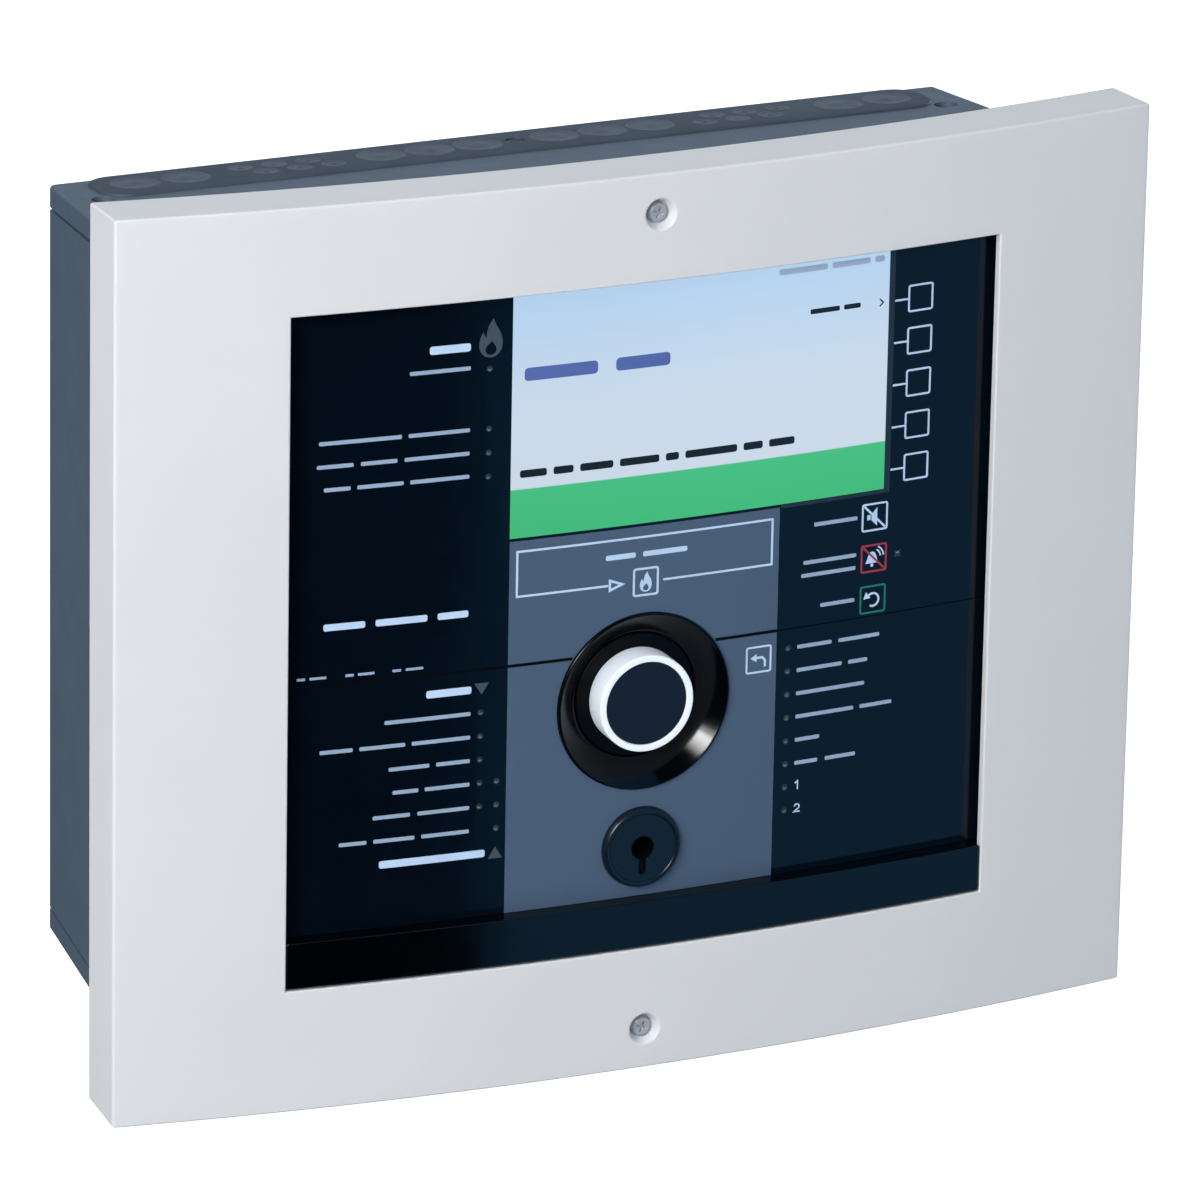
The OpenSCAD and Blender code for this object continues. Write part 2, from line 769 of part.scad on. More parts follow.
module lock_nut() color(colour_steel) difference() {
    translate([0, plate_back + 4, lock_z]) rotate([90, 0, 0]) cylinder(r = 16, h = 4, $fn = 6);
    rod_y(lock_body_r + fit_gap, cut_front, cut_back, 0, lock_z);
}

module lock_cam() color(colour_steel) translate([0, 0, lock_z]) {
    rod_y(7.5, lock_back, lock_back + cam_t);
    block([-cam_half_w, lock_back, 0], [cam_half_w, lock_back + cam_t, cam_len]);
}

// The turned cam stops just above this switch's plunger
module lock_switch() color(colour_black) {
    top = lock_z - cam_half_w - 2;
    block([18, plate_back, top - 7], [40, -106, top]);
    block([24, lock_back, top], [27, lock_back + cam_t, top + 1.5]);
}

module ui_board() color(colour_board) difference() {
    block([board_x0, board_front, board_z0], [board_x1, board_front + board_t, board_z1]);
    board_posts() rod_y(1.6, board_front - 1, board_front + 3);
}

module ui_board_screws() color(colour_steel) board_posts() {
    rod_y(1.25, plate_back + 0.4, board_front + board_t);
    rod_y(2.8, board_front + board_t, board_front + board_t + 2);
}

module ui_connectors() color("#e4e0cf") for (p = ui_parts) {
    y0 = board_front + board_t;
    block([p[0], y0, p[1]], [p[2], y0 + p[4], p[3]]);
}

module buzzer() color(colour_black) translate([buzzer_x, board_front + board_t, buzzer_z]) difference() {
    rod_y(buzzer_r, 0, buzzer_h);
    rod_y(2, buzzer_h - 3, buzzer_h + 1);
}

module catch_magnets() color("#55585c")
    for (z = [-catch_z, catch_z])
        block([catch_x0, plate_back, z - 12], [catch_x1, strike_y - 2.2, z + 12]);

module cover_nuts() color(colour_steel) for (z = [-cover_screw_z, cover_screw_z]) difference() {
    translate([0, plate_back + 3, z]) rotate([90, 0, 0]) cylinder(r = 4.4, h = 3, $fn = 6);
    rod_y(2.1, cut_front, cut_back, 0, z);
}

// ---------------------------------------------------------------- front cover

// A slab along Z: straight in front of the cover's corners, drawn in behind them
module drafted_slab(half) {
    past = 1;
    back = cover_depth - corner_y + past;
    drawn = half - cover_draft * (cover_depth + past) / cover_depth;
    linear_extrude(big, center = true) polygon([
        [-half, cut_front], [half, cut_front], [half, -corner_y],
        [drawn, back], [-drawn, back], [-half, -corner_y]
    ]);
}

// The block that bounds the cover, drawn in by inset on every side
module cover_block(inset) intersection() {
    drafted_slab(cover_w / 2 - inset);
    rotate([0, 90, 0]) drafted_slab(cover_h / 2 - inset);
}

module window_block(grow, front, back) {
    block([-window_w / 2 - grow, front, -window_bottom - grow], [window_w / 2 + grow, back, window_top + grow]);
}

module front_cover() color(colour_cover) difference() {
    union() {
        difference() {
            intersection() {
                cover_block(0);
                bow_body(0);
            }
            bow_body(cover_depth);
            intersection() {
                cover_block(cover_wall);
                bow_body(cover_wall);
            }
        }
        intersection() {
            window_block(window_lip, cut_front, cut_back);
            difference() {
                bow_body(1);
                bow_body(fascia_inset - 0.4);
            }
        }
        for (z = [-cover_screw_z, cover_screw_z]) rod_y(7.5, face_y + 2, plate_front - 0.3, 0, z);
    }
    window_block(0, cut_front, cut_back);
    for (z = [-cover_screw_z, cover_screw_z]) {
        rod_y(5.7, face_y - 2, face_y + 4.6, 0, z);
        rod_y(2.3, face_y, cut_back, 0, z);
    }
}

module cover_screws() color(colour_steel) for (z = [-cover_screw_z, cover_screw_z]) difference() {
    union() {
        rod_y(2, face_y + 4, -121.6, 0, z);
        translate([0, face_y + 4.6, z]) rotate([90, 0, 0]) cylinder(r1 = 4.2, r2 = 3.2, h = 2.2);
    }
    for (a = [0, 90]) translate([0, face_y + 2, z]) rotate([0, a + 20, 0])
        block([-2.1, -1, -0.45], [2.1, 1.4, 0.45]);
}

// ---------------------------------------------------------------- drawing

rear_shell();
top_cap();
bottom_cap();
cap_screws();
cable_entry_plate();
entry_plate_screw();
hinge_pins();
strike_plates();
gear_tray();
power_supply();
main_board();
board_standoffs();
terminal_blocks();
loop_cards();
battery_shelf();
battery_left();
battery_right();
battery_strap();
battery_link_lead();
earth_stud();
ui_chassis();
fascia_upper();
fascia_lower();
centre_film_upper();
centre_film_lower();
display_pane();
display_module();
indicator_lenses();
key_switches();
chin_bar();
jog_dish();
encoder();
lock_ring();
lock_body();
lock_nut();
lock_switch();
ui_board();
ui_board_screws();
ui_connectors();
buzzer();
catch_magnets();
cover_nuts();
jog_plunger();
jog_knob();
jog_cap();
jog_flange();
jog_shaft();
lock_barrel();
lock_cam();
front_cover();
cover_screws();
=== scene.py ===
import math

import bmesh
import bpy
from mathutils import Matrix, Vector
from mathutils.geometry import tessellate_polygon


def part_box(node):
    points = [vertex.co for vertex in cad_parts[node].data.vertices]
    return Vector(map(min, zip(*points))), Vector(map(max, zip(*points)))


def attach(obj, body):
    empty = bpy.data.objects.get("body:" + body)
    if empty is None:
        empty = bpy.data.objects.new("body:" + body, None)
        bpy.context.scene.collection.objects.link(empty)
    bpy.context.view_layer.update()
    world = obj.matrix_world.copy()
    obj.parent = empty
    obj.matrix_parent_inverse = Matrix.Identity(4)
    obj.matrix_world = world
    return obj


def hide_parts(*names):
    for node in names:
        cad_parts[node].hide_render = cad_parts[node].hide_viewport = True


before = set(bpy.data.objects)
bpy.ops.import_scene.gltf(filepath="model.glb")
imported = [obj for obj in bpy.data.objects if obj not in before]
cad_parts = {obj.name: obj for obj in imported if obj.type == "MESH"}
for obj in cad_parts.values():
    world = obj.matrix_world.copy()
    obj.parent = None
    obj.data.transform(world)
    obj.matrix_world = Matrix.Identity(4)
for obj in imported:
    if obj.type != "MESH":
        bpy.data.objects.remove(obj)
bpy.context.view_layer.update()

MM = 0.001
TAU = 2 * math.pi

# ---- sizes, in metres unless another unit is given, many of them read from the frame

cover_low, cover_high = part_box("front_cover")
face_y = cover_low.y
half_w, half_h = cover_high.x, cover_high.z
corner_y = min(v.co.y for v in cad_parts["front_cover"].data.vertices if v.co.x > half_w - 0.1 * MM)
bow = corner_y - face_y
bow_r = (bow * bow + half_w * half_w) / (2 * bow)
cover_depth = cover_high.y - corner_y

LIP = 2.5 * MM  # width of the cover's lip round the window
WALL = 3 * MM  # the cover's thickness
DRAFT = 1.3 * MM  # how far the cover's skirt leans in at the back
CHIN_GAP = 0.7 * MM  # from the chin bar down to the lip
FASCIA_INSET = 7 * MM  # the fascia's depth behind the cover's face
BOSS_END = -128.3 * MM  # rear end of the cover's screw bosses
SCREEN_BAND = 18.8 * MM  # height of the screen's green band
FLARE_Z = 0.069  # slope of the top cap
FLOOR_Z = -2.4  # far below, so that no shadow of the panel shows
# the cable entries, in millimetres: the plate's place and half sizes, and its large and small entries
ENTRY_Y, ENTRY_CORNER = -16.4, 11
ENTRY_HALF, ENTRY_HALF_W = 168, 15
LARGE_ENTRIES = (15.5, 35, 54.5, 132, 152)
SMALL_START, SMALL_PITCH, ROW_PITCH = 75, 13.5, 8.8
# the printed marks, in millimetres: pitch of the lamps, line width, and the keys' x, z, pitch and half width
LAMP_PITCH, LINE = 9.15, 0.75
SOFT_KEY = (110.7, 110.6, 16.35, 5.3)
ICON_KEY = (93.85, 27.8, 16.1, 5.5)
BACK_KEY = (46.7, -21.2, 5.3)

fascia_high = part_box("fascia_upper")[1]
chin_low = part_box("chin_bar")[0]
window_half = fascia_high.x - LIP
window_top = fascia_high.z - LIP
window_bottom = chin_low.z - CHIN_GAP

film_low, film_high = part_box("centre_film_upper")
pane_low, pane_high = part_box("display_pane")
seam_z = film_low.z / MM


def centre_of(node):
    low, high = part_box(node)
    return (low + high) / 2


def skin(x, inset=0.0):
    """Depth of the bowed face at x, or of a face set back from it."""
    return face_y + bow_r - math.sqrt((bow_r - inset) ** 2 - x * x)


# ---- materials

def new_material(name):
    """A new material, its node tree and its main shader."""
    material = bpy.data.materials.new(name)
    material.use_nodes = True
    return material, material.node_tree, material.node_tree.nodes["Principled BSDF"]


def fill(tree, node, values):
    """Sets a node's inputs to numbers and colours, or links them to other nodes' outputs."""
    for key, value in values.items():
        if isinstance(value, bpy.types.NodeSocket):
            tree.links.new(value, node.inputs[key])
        else:
            node.inputs[key].default_value = value


def add_node(tree, kind, values=None, **settings):
    """A new node with its settings made and its inputs filled."""
    node = tree.nodes.new(kind)
    for name, value in settings.items():
        setattr(node, name, value)
    fill(tree, node, values or {})
    return node


def own_place(tree):
    """Where a point lies, in the row frame's own metres."""
    return add_node(tree, "ShaderNodeTexCoord").outputs["Object"]


def noise(tree, scale, detail=3.0, stretch=None):
    """A noise texture in metres, stretched along some directions."""
    place = own_place(tree)
    texture = add_node(tree, "ShaderNodeTexNoise", {"Scale": scale, "Detail": detail})
    if stretch:
        place = add_node(tree, "ShaderNodeMapping", {"Scale": stretch, "Vector": place}).outputs["Vector"]
    fill(tree, texture, {"Vector": place})
    return texture.outputs["Fac"]


def ranged(tree, source, low, high):
    """Maps a 0.3 to 0.7 signal, where most of a noise lies, to low to high."""
    values = {"From Min": 0.3, "From Max": 0.7, "To Min": low, "To Max": high, "Value": source}
    return add_node(tree, "ShaderNodeMapRange", values).outputs["Result"]


def bump(tree, source, strength, distance):
    """A normal from a height signal."""
    values = {"Strength": strength, "Distance": distance, "Height": source}
    return add_node(tree, "ShaderNodeBump", values).outputs["Normal"]


def colour_ramp(tree, source, low, high, stops):
    """Colours over a range of the source, from stops of a position and a colour."""
    spread = add_node(tree, "ShaderNodeMapRange", {"From Min": low, "From Max": high, "Value": source})
    ramp = add_node(tree, "ShaderNodeValToRGB", {"Fac": spread.outputs["Result"]})
    elements = ramp.color_ramp.elements
    while len(elements) < len(stops):
        elements.new(0.5)
    for element, (position, colour) in zip(elements, stops):
        element.position = position
        element.color = (*colour, 1)
    return ramp.outputs["Color"]


def grey_ramp(tree, source, low, high, stops):
    """Greys over a range of the source, from stops of a position and a value."""
    return colour_ramp(tree, source, low, high, [(position, (v, v, v)) for position, v in stops])


def tinted(tree, factor, dark, light):
    """A colour between dark and light, by factor."""
    values = {"A": (*dark, 1), "B": (*light, 1), "Factor": factor}
    return add_node(tree, "ShaderNodeMix", values, data_type="RGBA").outputs["Result"]


def plastic(name, colour, rough, vary=0.05, rough_vary=0.05, grain=0.25, grain_scale=2600,
            specular=0.5, coat=0.0, metallic=0.0, stretch=None, cloud=14):
    """Moulded plastic, rubber or metal: cloudy colour and roughness, and a fine surface grain."""
    material, tree, shader = new_material(name)
    slow = ranged(tree, noise(tree, cloud), 0, 1)
    dark, light = ([c * (1 + side * vary) for c in colour] for side in (-1, 1))
    patches = noise(tree, cloud * 6, 4, stretch)
    fill(tree, shader, {
        "Base Color": tinted(tree, slow, dark, light),
        "Roughness": ranged(tree, patches, rough - rough_vary, rough + rough_vary),
        "Specular IOR Level": specular, "Metallic": metallic, "Coat Weight": coat, "Coat Roughness": 0.04})
    if grain:
        fine = noise(tree, grain_scale, 2, stretch)
        fill(tree, shader, {"Normal": bump(tree, fine, grain, 0.05 * MM)})
    return material


def glowing(material, colour, strength):
    """A material that also shines by itself."""
    tree = material.node_tree
    fill(tree, tree.nodes["Principled BSDF"],
         {"Emission Color": (*colour, 1), "Emission Strength": strength})
    return material


def srgb(code):
    """Linear colour from a hex code."""
    values = [int(code[i:i + 2], 16) / 255 for i in (0, 2, 4)]
    return tuple(v / 12.92 if v <= 0.04045 else ((v + 0.055) / 1.055) ** 2.4 for v in values)


def brushed(name, colour, rough=0.3, stretch=(1, 1, 40)):
    """Plated or rolled metal with a faint grain along one direction."""
    return plastic(name, colour, rough, vary=0.025, rough_vary=0.03, grain=0.06, grain_scale=220,
                   metallic=0.55, stretch=stretch, cloud=30)


def screen_material():
    """A lit screen: pale blue at the top, nearly white below, and a green band at the foot."""
    material, tree, shader = new_material("screen_lit")
    height = add_node(tree, "ShaderNodeSeparateXYZ", {"Vector": own_place(tree)}).outputs["Z"]
    band = SCREEN_BAND / (window_top - pane_low.z)
    stops = ((0.0, "38b76e"), (band - 0.004, "3dbc76"), (band, "ccd8e6"), (0.5, "ccd9e8"), (1.0, "b2d1ee"))
    picture = colour_ramp(tree, height, pane_low.z, window_top, [(at, srgb(code)) for at, code in stops])
    values = {"Factor": 1, "A": picture, "B": ranged(tree, noise(tree, 9), 0.97, 1.0)}
    shade = add_node(tree, "ShaderNodeMix", values, data_type="RGBA", blend_type="MULTIPLY")
    fill(tree, shader, {"Emission Color": shade.outputs["Result"], "Emission Strength": 0.97,
                        "Base Color": (0.02, 0.025, 0.03, 1), "Roughness": 0.12})
    return material


def board_material(name, colour):
    """Solder mask with faint copper tracks under it."""
    material, tree, shader = new_material(name)
    base, dim, track = ((*[c * level for c in colour], 1) for level in (1, 0.9, 1.7))
    turn = add_node(tree, "ShaderNodeMapping", {"Rotation": (math.pi / 2, 0, 0), "Vector": own_place(tree)})
    tracks = add_node(tree, "ShaderNodeTexBrick", {"Scale": 260, "Mortar Size": 0.035, "Color1": dim,
                                                   "Color2": base, "Mortar": track,
                                                   "Vector": turn.outputs["Vector"]})
    fill(tree, shader, {"Base Color": tracks.outputs["Color"],
                        "Roughness": ranged(tree, noise(tree, 80), 0.3, 0.45),
                        "Normal": bump(tree, tracks.outputs["Fac"], 0.3, 0.03 * MM)})
    return material


def print_material(name, colour, glow=0.0):
    """Screen-printed ink: a faint mottle and a soft sheen; with glow it also shines by itself, which off the
    lit screen is painted light.
    """
    ink = plastic(name, colour, 0.42, vary=0.06, rough_vary=0.08, grain=0.1, grain_scale=1800, cloud=90)
    return glowing(ink, colour, glow) if glow else ink


COVER = plastic("cover_plastic", (0.738, 0.756, 0.786), 0.45, vary=0.012, grain=0.12, grain_scale=1500,
                specular=0.35)
BOX = plastic("box_plastic", (0.079, 0.114, 0.163), 0.5, grain=0.3, grain_scale=1700, specular=0.4)
RUBBER = plastic("entry_rubber", (0.046, 0.066, 0.094), 0.62, vary=0.14, grain=0.5, grain_scale=900,
                 specular=0.3, cloud=40)
MEMBRANE = plastic("entry_membrane", (0.05, 0.073, 0.1), 0.45, vary=0.2, grain=0.3, grain_scale=900,
                   specular=0.45, cloud=60)
SMOKED = plastic("smoked_fascia", (0.001, 0.0042, 0.0098), 0.12, vary=0.1, rough_vary=0.03, grain=0.03,
                 specular=0.25)
CHIN = plastic("chin_gloss", (0.0007, 0.0011, 0.0025), 0.08, vary=0.1, rough_vary=0.02, grain=0.02,
               specular=0.32)
FILM = plastic("film_grey", srgb("4d627b"), 0.45, vary=0.03, grain=0.15, grain_scale=3200, specular=0.12)
GLOSS = plastic("black_gloss", (0.0006, 0.0012, 0.0025), 0.14, vary=0.2, rough_vary=0.03, grain=0.02,
                specular=0.2)
# real black for the dish's flange ring, and painted shade for the seam strips and the keyhole's inside
BLACK_AND_SHADE = plastic("black_and_painted_shade", (0.001, 0.0016, 0.003), 0.4, vary=0.2, grain=0.1, specular=0.1)
BLACK = plastic("black_plastic", (0.016, 0.018, 0.021), 0.5, vary=0.1, grain=0.4, grain_scale=1500,
                specular=0.22)
LOCK = plastic("lock_black", (0.003, 0.009, 0.017), 0.3, vary=0.1, grain=0.06, specular=0.32)
# the knob also glows faintly though it holds no lamp: painted light
KNOB_SELF_LIT = glowing(plastic("knob_white", (0.84, 0.9, 0.97), 0.32, vary=0.015, grain=0.06, coat=0.2),
               (0.75, 0.86, 1), 0.2)
CAP = plastic("cap_dark", (0.006, 0.015, 0.033), 0.55, vary=0.06, specular=0.12)
LENS = plastic("lens_frosted", srgb("28313a"), 0.3, grain=0.05, coat=0.3)
# the lens domes' pale colour is a painted highlight, not the lens's own colour
LENS_HIGHLIGHT = plastic("lens_painted_highlight", srgb("79828b"), 0.35, grain=0.05, coat=0.3)
STEEL = brushed("steel_plated", (0.6, 0.61, 0.62))
SCREW = plastic("screw_steel", (0.48, 0.49, 0.5), 0.3, vary=0.06, grain=0.1, grain_scale=600, metallic=0.3)
DARK_SCREW = plastic("screw_dark", (0.05, 0.062, 0.075), 0.35, vary=0.1, grain=0.1, grain_scale=600,
                     metallic=0.4)
BRASS = brushed("brass", (0.71, 0.52, 0.22))
BOARD = board_material("board_green", srgb("1f6b45"))
TERMINAL = plastic("terminal_green", srgb("2b8a4b"), 0.42, grain=0.2)
CONNECTOR = plastic("connector_white", srgb("e2ddcc"), 0.45, vary=0.03, grain=0.2)
ALUMINIUM = brushed("psu_metal", (0.6, 0.62, 0.64), 0.38, (1, 1, 25))
BATTERY = plastic("battery_case", srgb("34373c"), 0.48, vary=0.08, grain=0.35, grain_scale=1200)
RED_LEAD = plastic("lead_red", srgb("8c1f1f"), 0.45, vary=0.08, grain=0.15)
MAGNET = plastic("magnet", (0.2, 0.2, 0.21), 0.35, vary=0.1, grain=0.3, metallic=1.0)
CHIP = plastic("chip_black", (0.02, 0.021, 0.023), 0.5, vary=0.1, grain=0.3)
# the pale and label inks shine faintly by themselves: painted light, as no lamp lies behind the fascia
INK_PALE = print_material("ink_pale", srgb("b9d3f0"), 0.1)
INK_LABEL = print_material("ink_label", srgb("93aac4"), 0.08)
INK_GREY = print_material("ink_grey", srgb("434d58"))
INK_RED = print_material("ink_red", srgb("a83048"))
INK_GREEN = print_material("ink_green", srgb("0f7a62"))
INK_SHADE = print_material("ink_shade", srgb("1d2731"))
SCREEN = screen_material()
SCREEN_DARK = print_material("screen_dark", srgb("101317"))
SCREEN_BLUE = print_material("screen_blue", srgb("4a5f9c"), 0.25)
SCREEN_GREY = print_material("screen_grey", srgb("97abc4"), 0.25)

NODE_MATERIALS = {
    STEEL: ("hinge_pins", "strike_plates", "gear_tray", "battery_shelf", "battery_strap", "encoder",
            "lock_body", "lock_nut", "ui_board_screws", "cover_nuts", "jog_shaft", "lock_cam"),
    DARK_SCREW: ("cap_screws", "entry_plate_screw"),
    BRASS: ("board_standoffs", "earth_stud"),
    BOARD: ("main_board", "loop_cards", "ui_board"),
    TERMINAL: ("terminal_blocks",),
    BLACK: ("display_module", "key_switches", "lock_switch", "buzzer"),
    SMOKED: ("fascia_upper", "fascia_lower"),
    FILM: ("centre_film_upper", "centre_film_lower"),
    SCREEN: ("display_pane",),
    LENS: ("indicator_lenses",),
    CONNECTOR: ("ui_connectors", "jog_plunger"),
    RED_LEAD: ("battery_link_lead",),
    MAGNET: ("catch_magnets",),
    ALUMINIUM: ("power_supply",),
}


def dress_nodes():
    """Gives the carried-over CAD nodes their materials."""
    for material, names in NODE_MATERIALS.items():
        for name in names:
            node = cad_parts[name]
            node.data.materials.clear()
            node.data.materials.append(material)


# ---- making pieces

def add_piece(name, bm, material, body, replaces=(), smooth=40):
    """A piece that rides on a body and stands for CAD nodes, smooth across edges below an angle."""
    mesh = mesh_from(bm, name, smooth)
    piece = bpy.data.objects.new(name, mesh)
    bpy.context.scene.collection.objects.link(piece)
    mesh.materials.append(material)
    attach(piece, body)
    if replaces:
        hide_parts(*replaces)
    return piece


def mesh_from(bm, name, smooth=35):
    """The mesh that a bmesh becomes."""
    bmesh.ops.recalc_face_normals(bm, faces=bm.faces)
    mesh = bpy.data.meshes.new(name)
    bm.to_mesh(mesh)
    bm.free()
    shade(mesh, smooth)
    return mesh


def shade(mesh, angle):
    """Smooth shading across edges below an angle in degrees."""
    mesh.shade_smooth()
    mesh.set_sharp_from_angle(angle=math.radians(angle))


def soften(piece, width, segments, angle):
    """Rounds the edges of a piece that are sharper than an angle, and evens its shading."""
    edge = piece.modifiers.new("edge", "BEVEL")
    edge.width = width
    edge.segments = segments
    edge.limit_method = "ANGLE"
    edge.angle_limit = math.radians(angle)
    edge.miter_outer = "MITER_ARC"
    even_shading(piece)


def even_shading(piece):
    even = piece.modifiers.new("even", "WEIGHTED_NORMAL")
    even.keep_sharp = True


def refined(node, name, material, body, width, segments=2, angle=35):
    """A copy of a CAD node with rounded edges, standing for it."""
    bm = bmesh.new()
    bm.from_mesh(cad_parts[node].data)
    bmesh.ops.remove_doubles(bm, verts=bm.verts, dist=0.002 * MM)
    bmesh.ops.dissolve_limit(bm, angle_limit=math.radians(0.5), verts=bm.verts, edges=bm.edges)
    soften(add_piece(name, bm, material, body, [node], smooth=35), width, segments, angle)


def lathe(bm, profile, centre, steps=128, close=False, upright=False):
    """Turns a profile of (radius, y) about a line along Y through centre (x, z). Radius 0 closes to a point.

    When upright, the profile is (radius, z), and the line runs along Z through centre (x, y).
    """
    first, second = centre
    rings = []
    for r, along in profile:
        ring = [centre]
        if r > 1e-7:
            angles = (TAU * i / steps for i in range(steps))
            ring = [(first + r * math.cos(a), second + r * math.sin(a)) for a in angles]
        rings.append([bm.verts.new((p, q, along) if upright else (p, along, q)) for p, q in ring])
    for a, b in zip(rings, rings[1:] + rings[:1] if close else rings[1:]):
        for i in range(steps):
            j = (i + 1) % steps
            corners = dict.fromkeys((a[i % len(a)], a[j % len(a)], b[j % len(b)], b[i % len(b)]))
            if len(corners) > 2:
                bm.faces.new(tuple(corners))


def in_metres(profile):
    return [(a * MM, b * MM) for a, b in profile]


def turned(profile, centre, steps=128, close=False):
    """A new mesh of one turned profile."""
    bm = bmesh.new()
    lathe(bm, profile, centre, steps, close)
    return bm


def rounded(points, radius, steps=4):
    """Rounds the inner corners of an open profile of (radius, y) points."""
    out = [points[0]]
    for before, here, after in zip(points, points[1:], points[2:]):
        p, a, b = Vector(here), Vector(before), Vector(after)
        reach = min(radius, (a - p).length * 0.45, (b - p).length * 0.45)
        start = p + (a - p).normalized() * reach
        end = p + (b - p).normalized() * reach
        for i in range(steps + 1):
            t = i / steps
            out.append(tuple(start.lerp(p, t).lerp(p.lerp(end, t), t)))
    out.append(points[-1])
    return out


def box_into(bm, low, high, bevel=0.0):
    """Adds a box between two corners, with its edges rounded by bevel."""
    low, high = Vector(low), Vector(high)
    place = Matrix.Translation((low + high) / 2) @ Matrix.Diagonal((*(high - low), 1))
    made = bmesh.ops.create_cube(bm, size=1, matrix=place)
    if bevel:
        edges = list({e for v in made["verts"] for e in v.link_edges})
        bmesh.ops.bevel(bm, geom=edges, offset=bevel, segments=2, affect="EDGES", profile=0.5)


# ---- the front cover

def rectangle_loop(bm, half, top, bottom, inset, columns, rows):
    """A ring of vertices round a rectangle on the bow, set back by inset."""
    xs = [-half + 2 * half * i / columns for i in range(columns + 1)]
    zs = [bottom + (top - bottom) * i / rows for i in range(rows + 1)]
    path = [(x, top) for x in xs[:-1]] + [(half, z) for z in reversed(zs[1:])]
    path += [(x, bottom) for x in reversed(xs[1:])] + [(-half, z) for z in zs[:-1]]
    return [bm.verts.new((x, skin(x, inset), z)) for x, z in path]


def cover_shell():
    """The light bowed cover: its face, skirt, inside and window lip, as one closed shell."""
    columns, rows, face_steps = 56, 8, 7
    lip_back = WALL + 0.6 * MM
    back = (half_w - DRAFT, half_h - DRAFT, DRAFT - half_h)
    inner = (half_w - WALL, half_h - WALL, WALL - half_h)
    lip = (window_half + LIP, window_top + LIP, window_bottom - LIP)
    window = (window_half, window_top, window_bottom)
    outer = (half_w, half_h, -half_h)

    def between(a, b, inset):
        return [(*[p + (q - p) * i / face_steps for p, q in zip(a, b)], inset) for i in range(1, face_steps)]

    rim = tuple(v - math.copysign(WALL, v) for v in back)
    stations = [(*outer, 0), (*back, cover_depth), (*rim, cover_depth), (*inner, WALL)]
    stations += between(inner, lip, WALL)
    stations += [(*lip, WALL), (*lip, lip_back), (*window, lip_back), (*window, 0)]
    stations += between(window, outer, 0)
    last = stations.index((*window, 0))
    weights = {0: 1.0, 1: 0.5, 2: 0.5, last - 1: 0.3, last: 0.7}

    bm = bmesh.new()
    weight = bm.edges.layers.float.new("bevel_weight_edge")
    loops = [rectangle_loop(bm, h, t, b, i, columns, rows) for h, t, b, i in stations]
    count = len(loops[0])
    for a, b in zip(loops, loops[1:] + loops[:1]):
        for i in range(count):
            j = (i + 1) % count
            bm.faces.new([a[i], a[j], b[j], b[i]])
    for index, value in weights.items():
        loop = loops[index]
        for i in range(count):
            bm.edges.get((loop[i], loop[(i + 1) % count]))[weight] = value
    for corner in (0, columns, columns + rows, 2 * columns + rows):
        for near, far in ((0, 1), (2, 3), (last - 1, last)):
            edge = bm.edges.get((loops[near][corner], loops[far][corner]))
            edge[weight] = 1.0 if near == 0 else 0.4
    piece = add_piece("cover_shell", bm, COVER, "cover", ["front_cover"], smooth=35)
    edge = piece.modifiers.new("edge", "BEVEL")
    edge.width = 1.1 * MM
    edge.segments = 3
    edge.limit_method = "WEIGHT"
    screw_holes(piece)
    even_shading(piece)


def screw_holes(cover):
    """A boss behind each of the cover's two screws, and the stepped, cone-mouthed hole through it."""
    screw_low, screw_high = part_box("cover_screws")
    head_r = 4.2 * MM
    screw_z = (screw_high.z - screw_low.z) / 2 - head_r
    boss = [(0, face_y + 1.5 * MM), (7.5 * MM, face_y + 1.5 * MM), (7.5 * MM, BOSS_END), (0, BOSS_END)]
    hole = [(0, -2), (8, -2), (6.7, -0.02), (6.1, 0.3), (5.6, 0.9), (4.35, 4.1), (4.3, 4.6), (2.3, 4.6)]
    hole = [(r * MM, face_y + depth * MM) for r, depth in hole]
    hole += [(r, BOSS_END + 1 * MM) for r in (2.3 * MM, 0)]
    for side in (-1, 1):
        combine(cover, "UNION", turned(boss, (0, side * screw_z), 64))
        combine(cover, "DIFFERENCE", turned(hole, (0, side * screw_z), 64))


def combine(piece, operation, bm):
    """Joins another closed mesh to a piece, or cuts it out, and applies that and every other modifier."""
    tool = bpy.data.objects.new("tool", mesh_from(bm, "tool"))
    bpy.context.scene.collection.objects.link(tool)
    step = piece.modifiers.new("combine", "BOOLEAN")
    step.operation = operation
    step.object = tool
    graph = bpy.context.evaluated_depsgraph_get()
    graph.update()
    mesh = bpy.data.meshes.new_from_object(piece.evaluated_get(graph), preserve_all_data_layers=True,
                                           depsgraph=graph)
    piece.modifiers.clear()
    piece.data = mesh
    shade(mesh, 40)
    bpy.data.objects.remove(tool)


# ---- marks printed on the bow, in millimetres

def arc(cx, cz, r, start, end, steps=24):
    """Points along an arc, in degrees, counter-clockwise seen from the front."""
    return [(cx + r * math.cos(math.radians(start + (end - start) * i / steps)),
             cz + r * math.sin(math.radians(start + (end - start) * i / steps))) for i in range(steps + 1)]


def disc(cx, cz, r, steps=32):
    return arc(cx, cz, r, 0, 360, steps)[:-1]


def rect(x0, z0, x1, z1, r=0.5, steps=5):
    """A rounded rectangle."""
    corners = ((x1 - r, z1 - r, 0), (x0 + r, z1 - r, 90), (x0 + r, z0 + r, 180), (x1 - r, z0 + r, 270))
    return [p for cx, cz, a in corners for p in arc(cx, cz, r, a, a + 90, steps)]


def frame_of(x0, z0, x1, z1, w, r=0.9):
    """A rounded rectangle's outline, w wide, as an outer loop and a hole."""
    return [rect(x0, z0, x1, z1, r), rect(x0 + w, z0 + w, x1 - w, z1 - w, max(r - w, 0.1))]


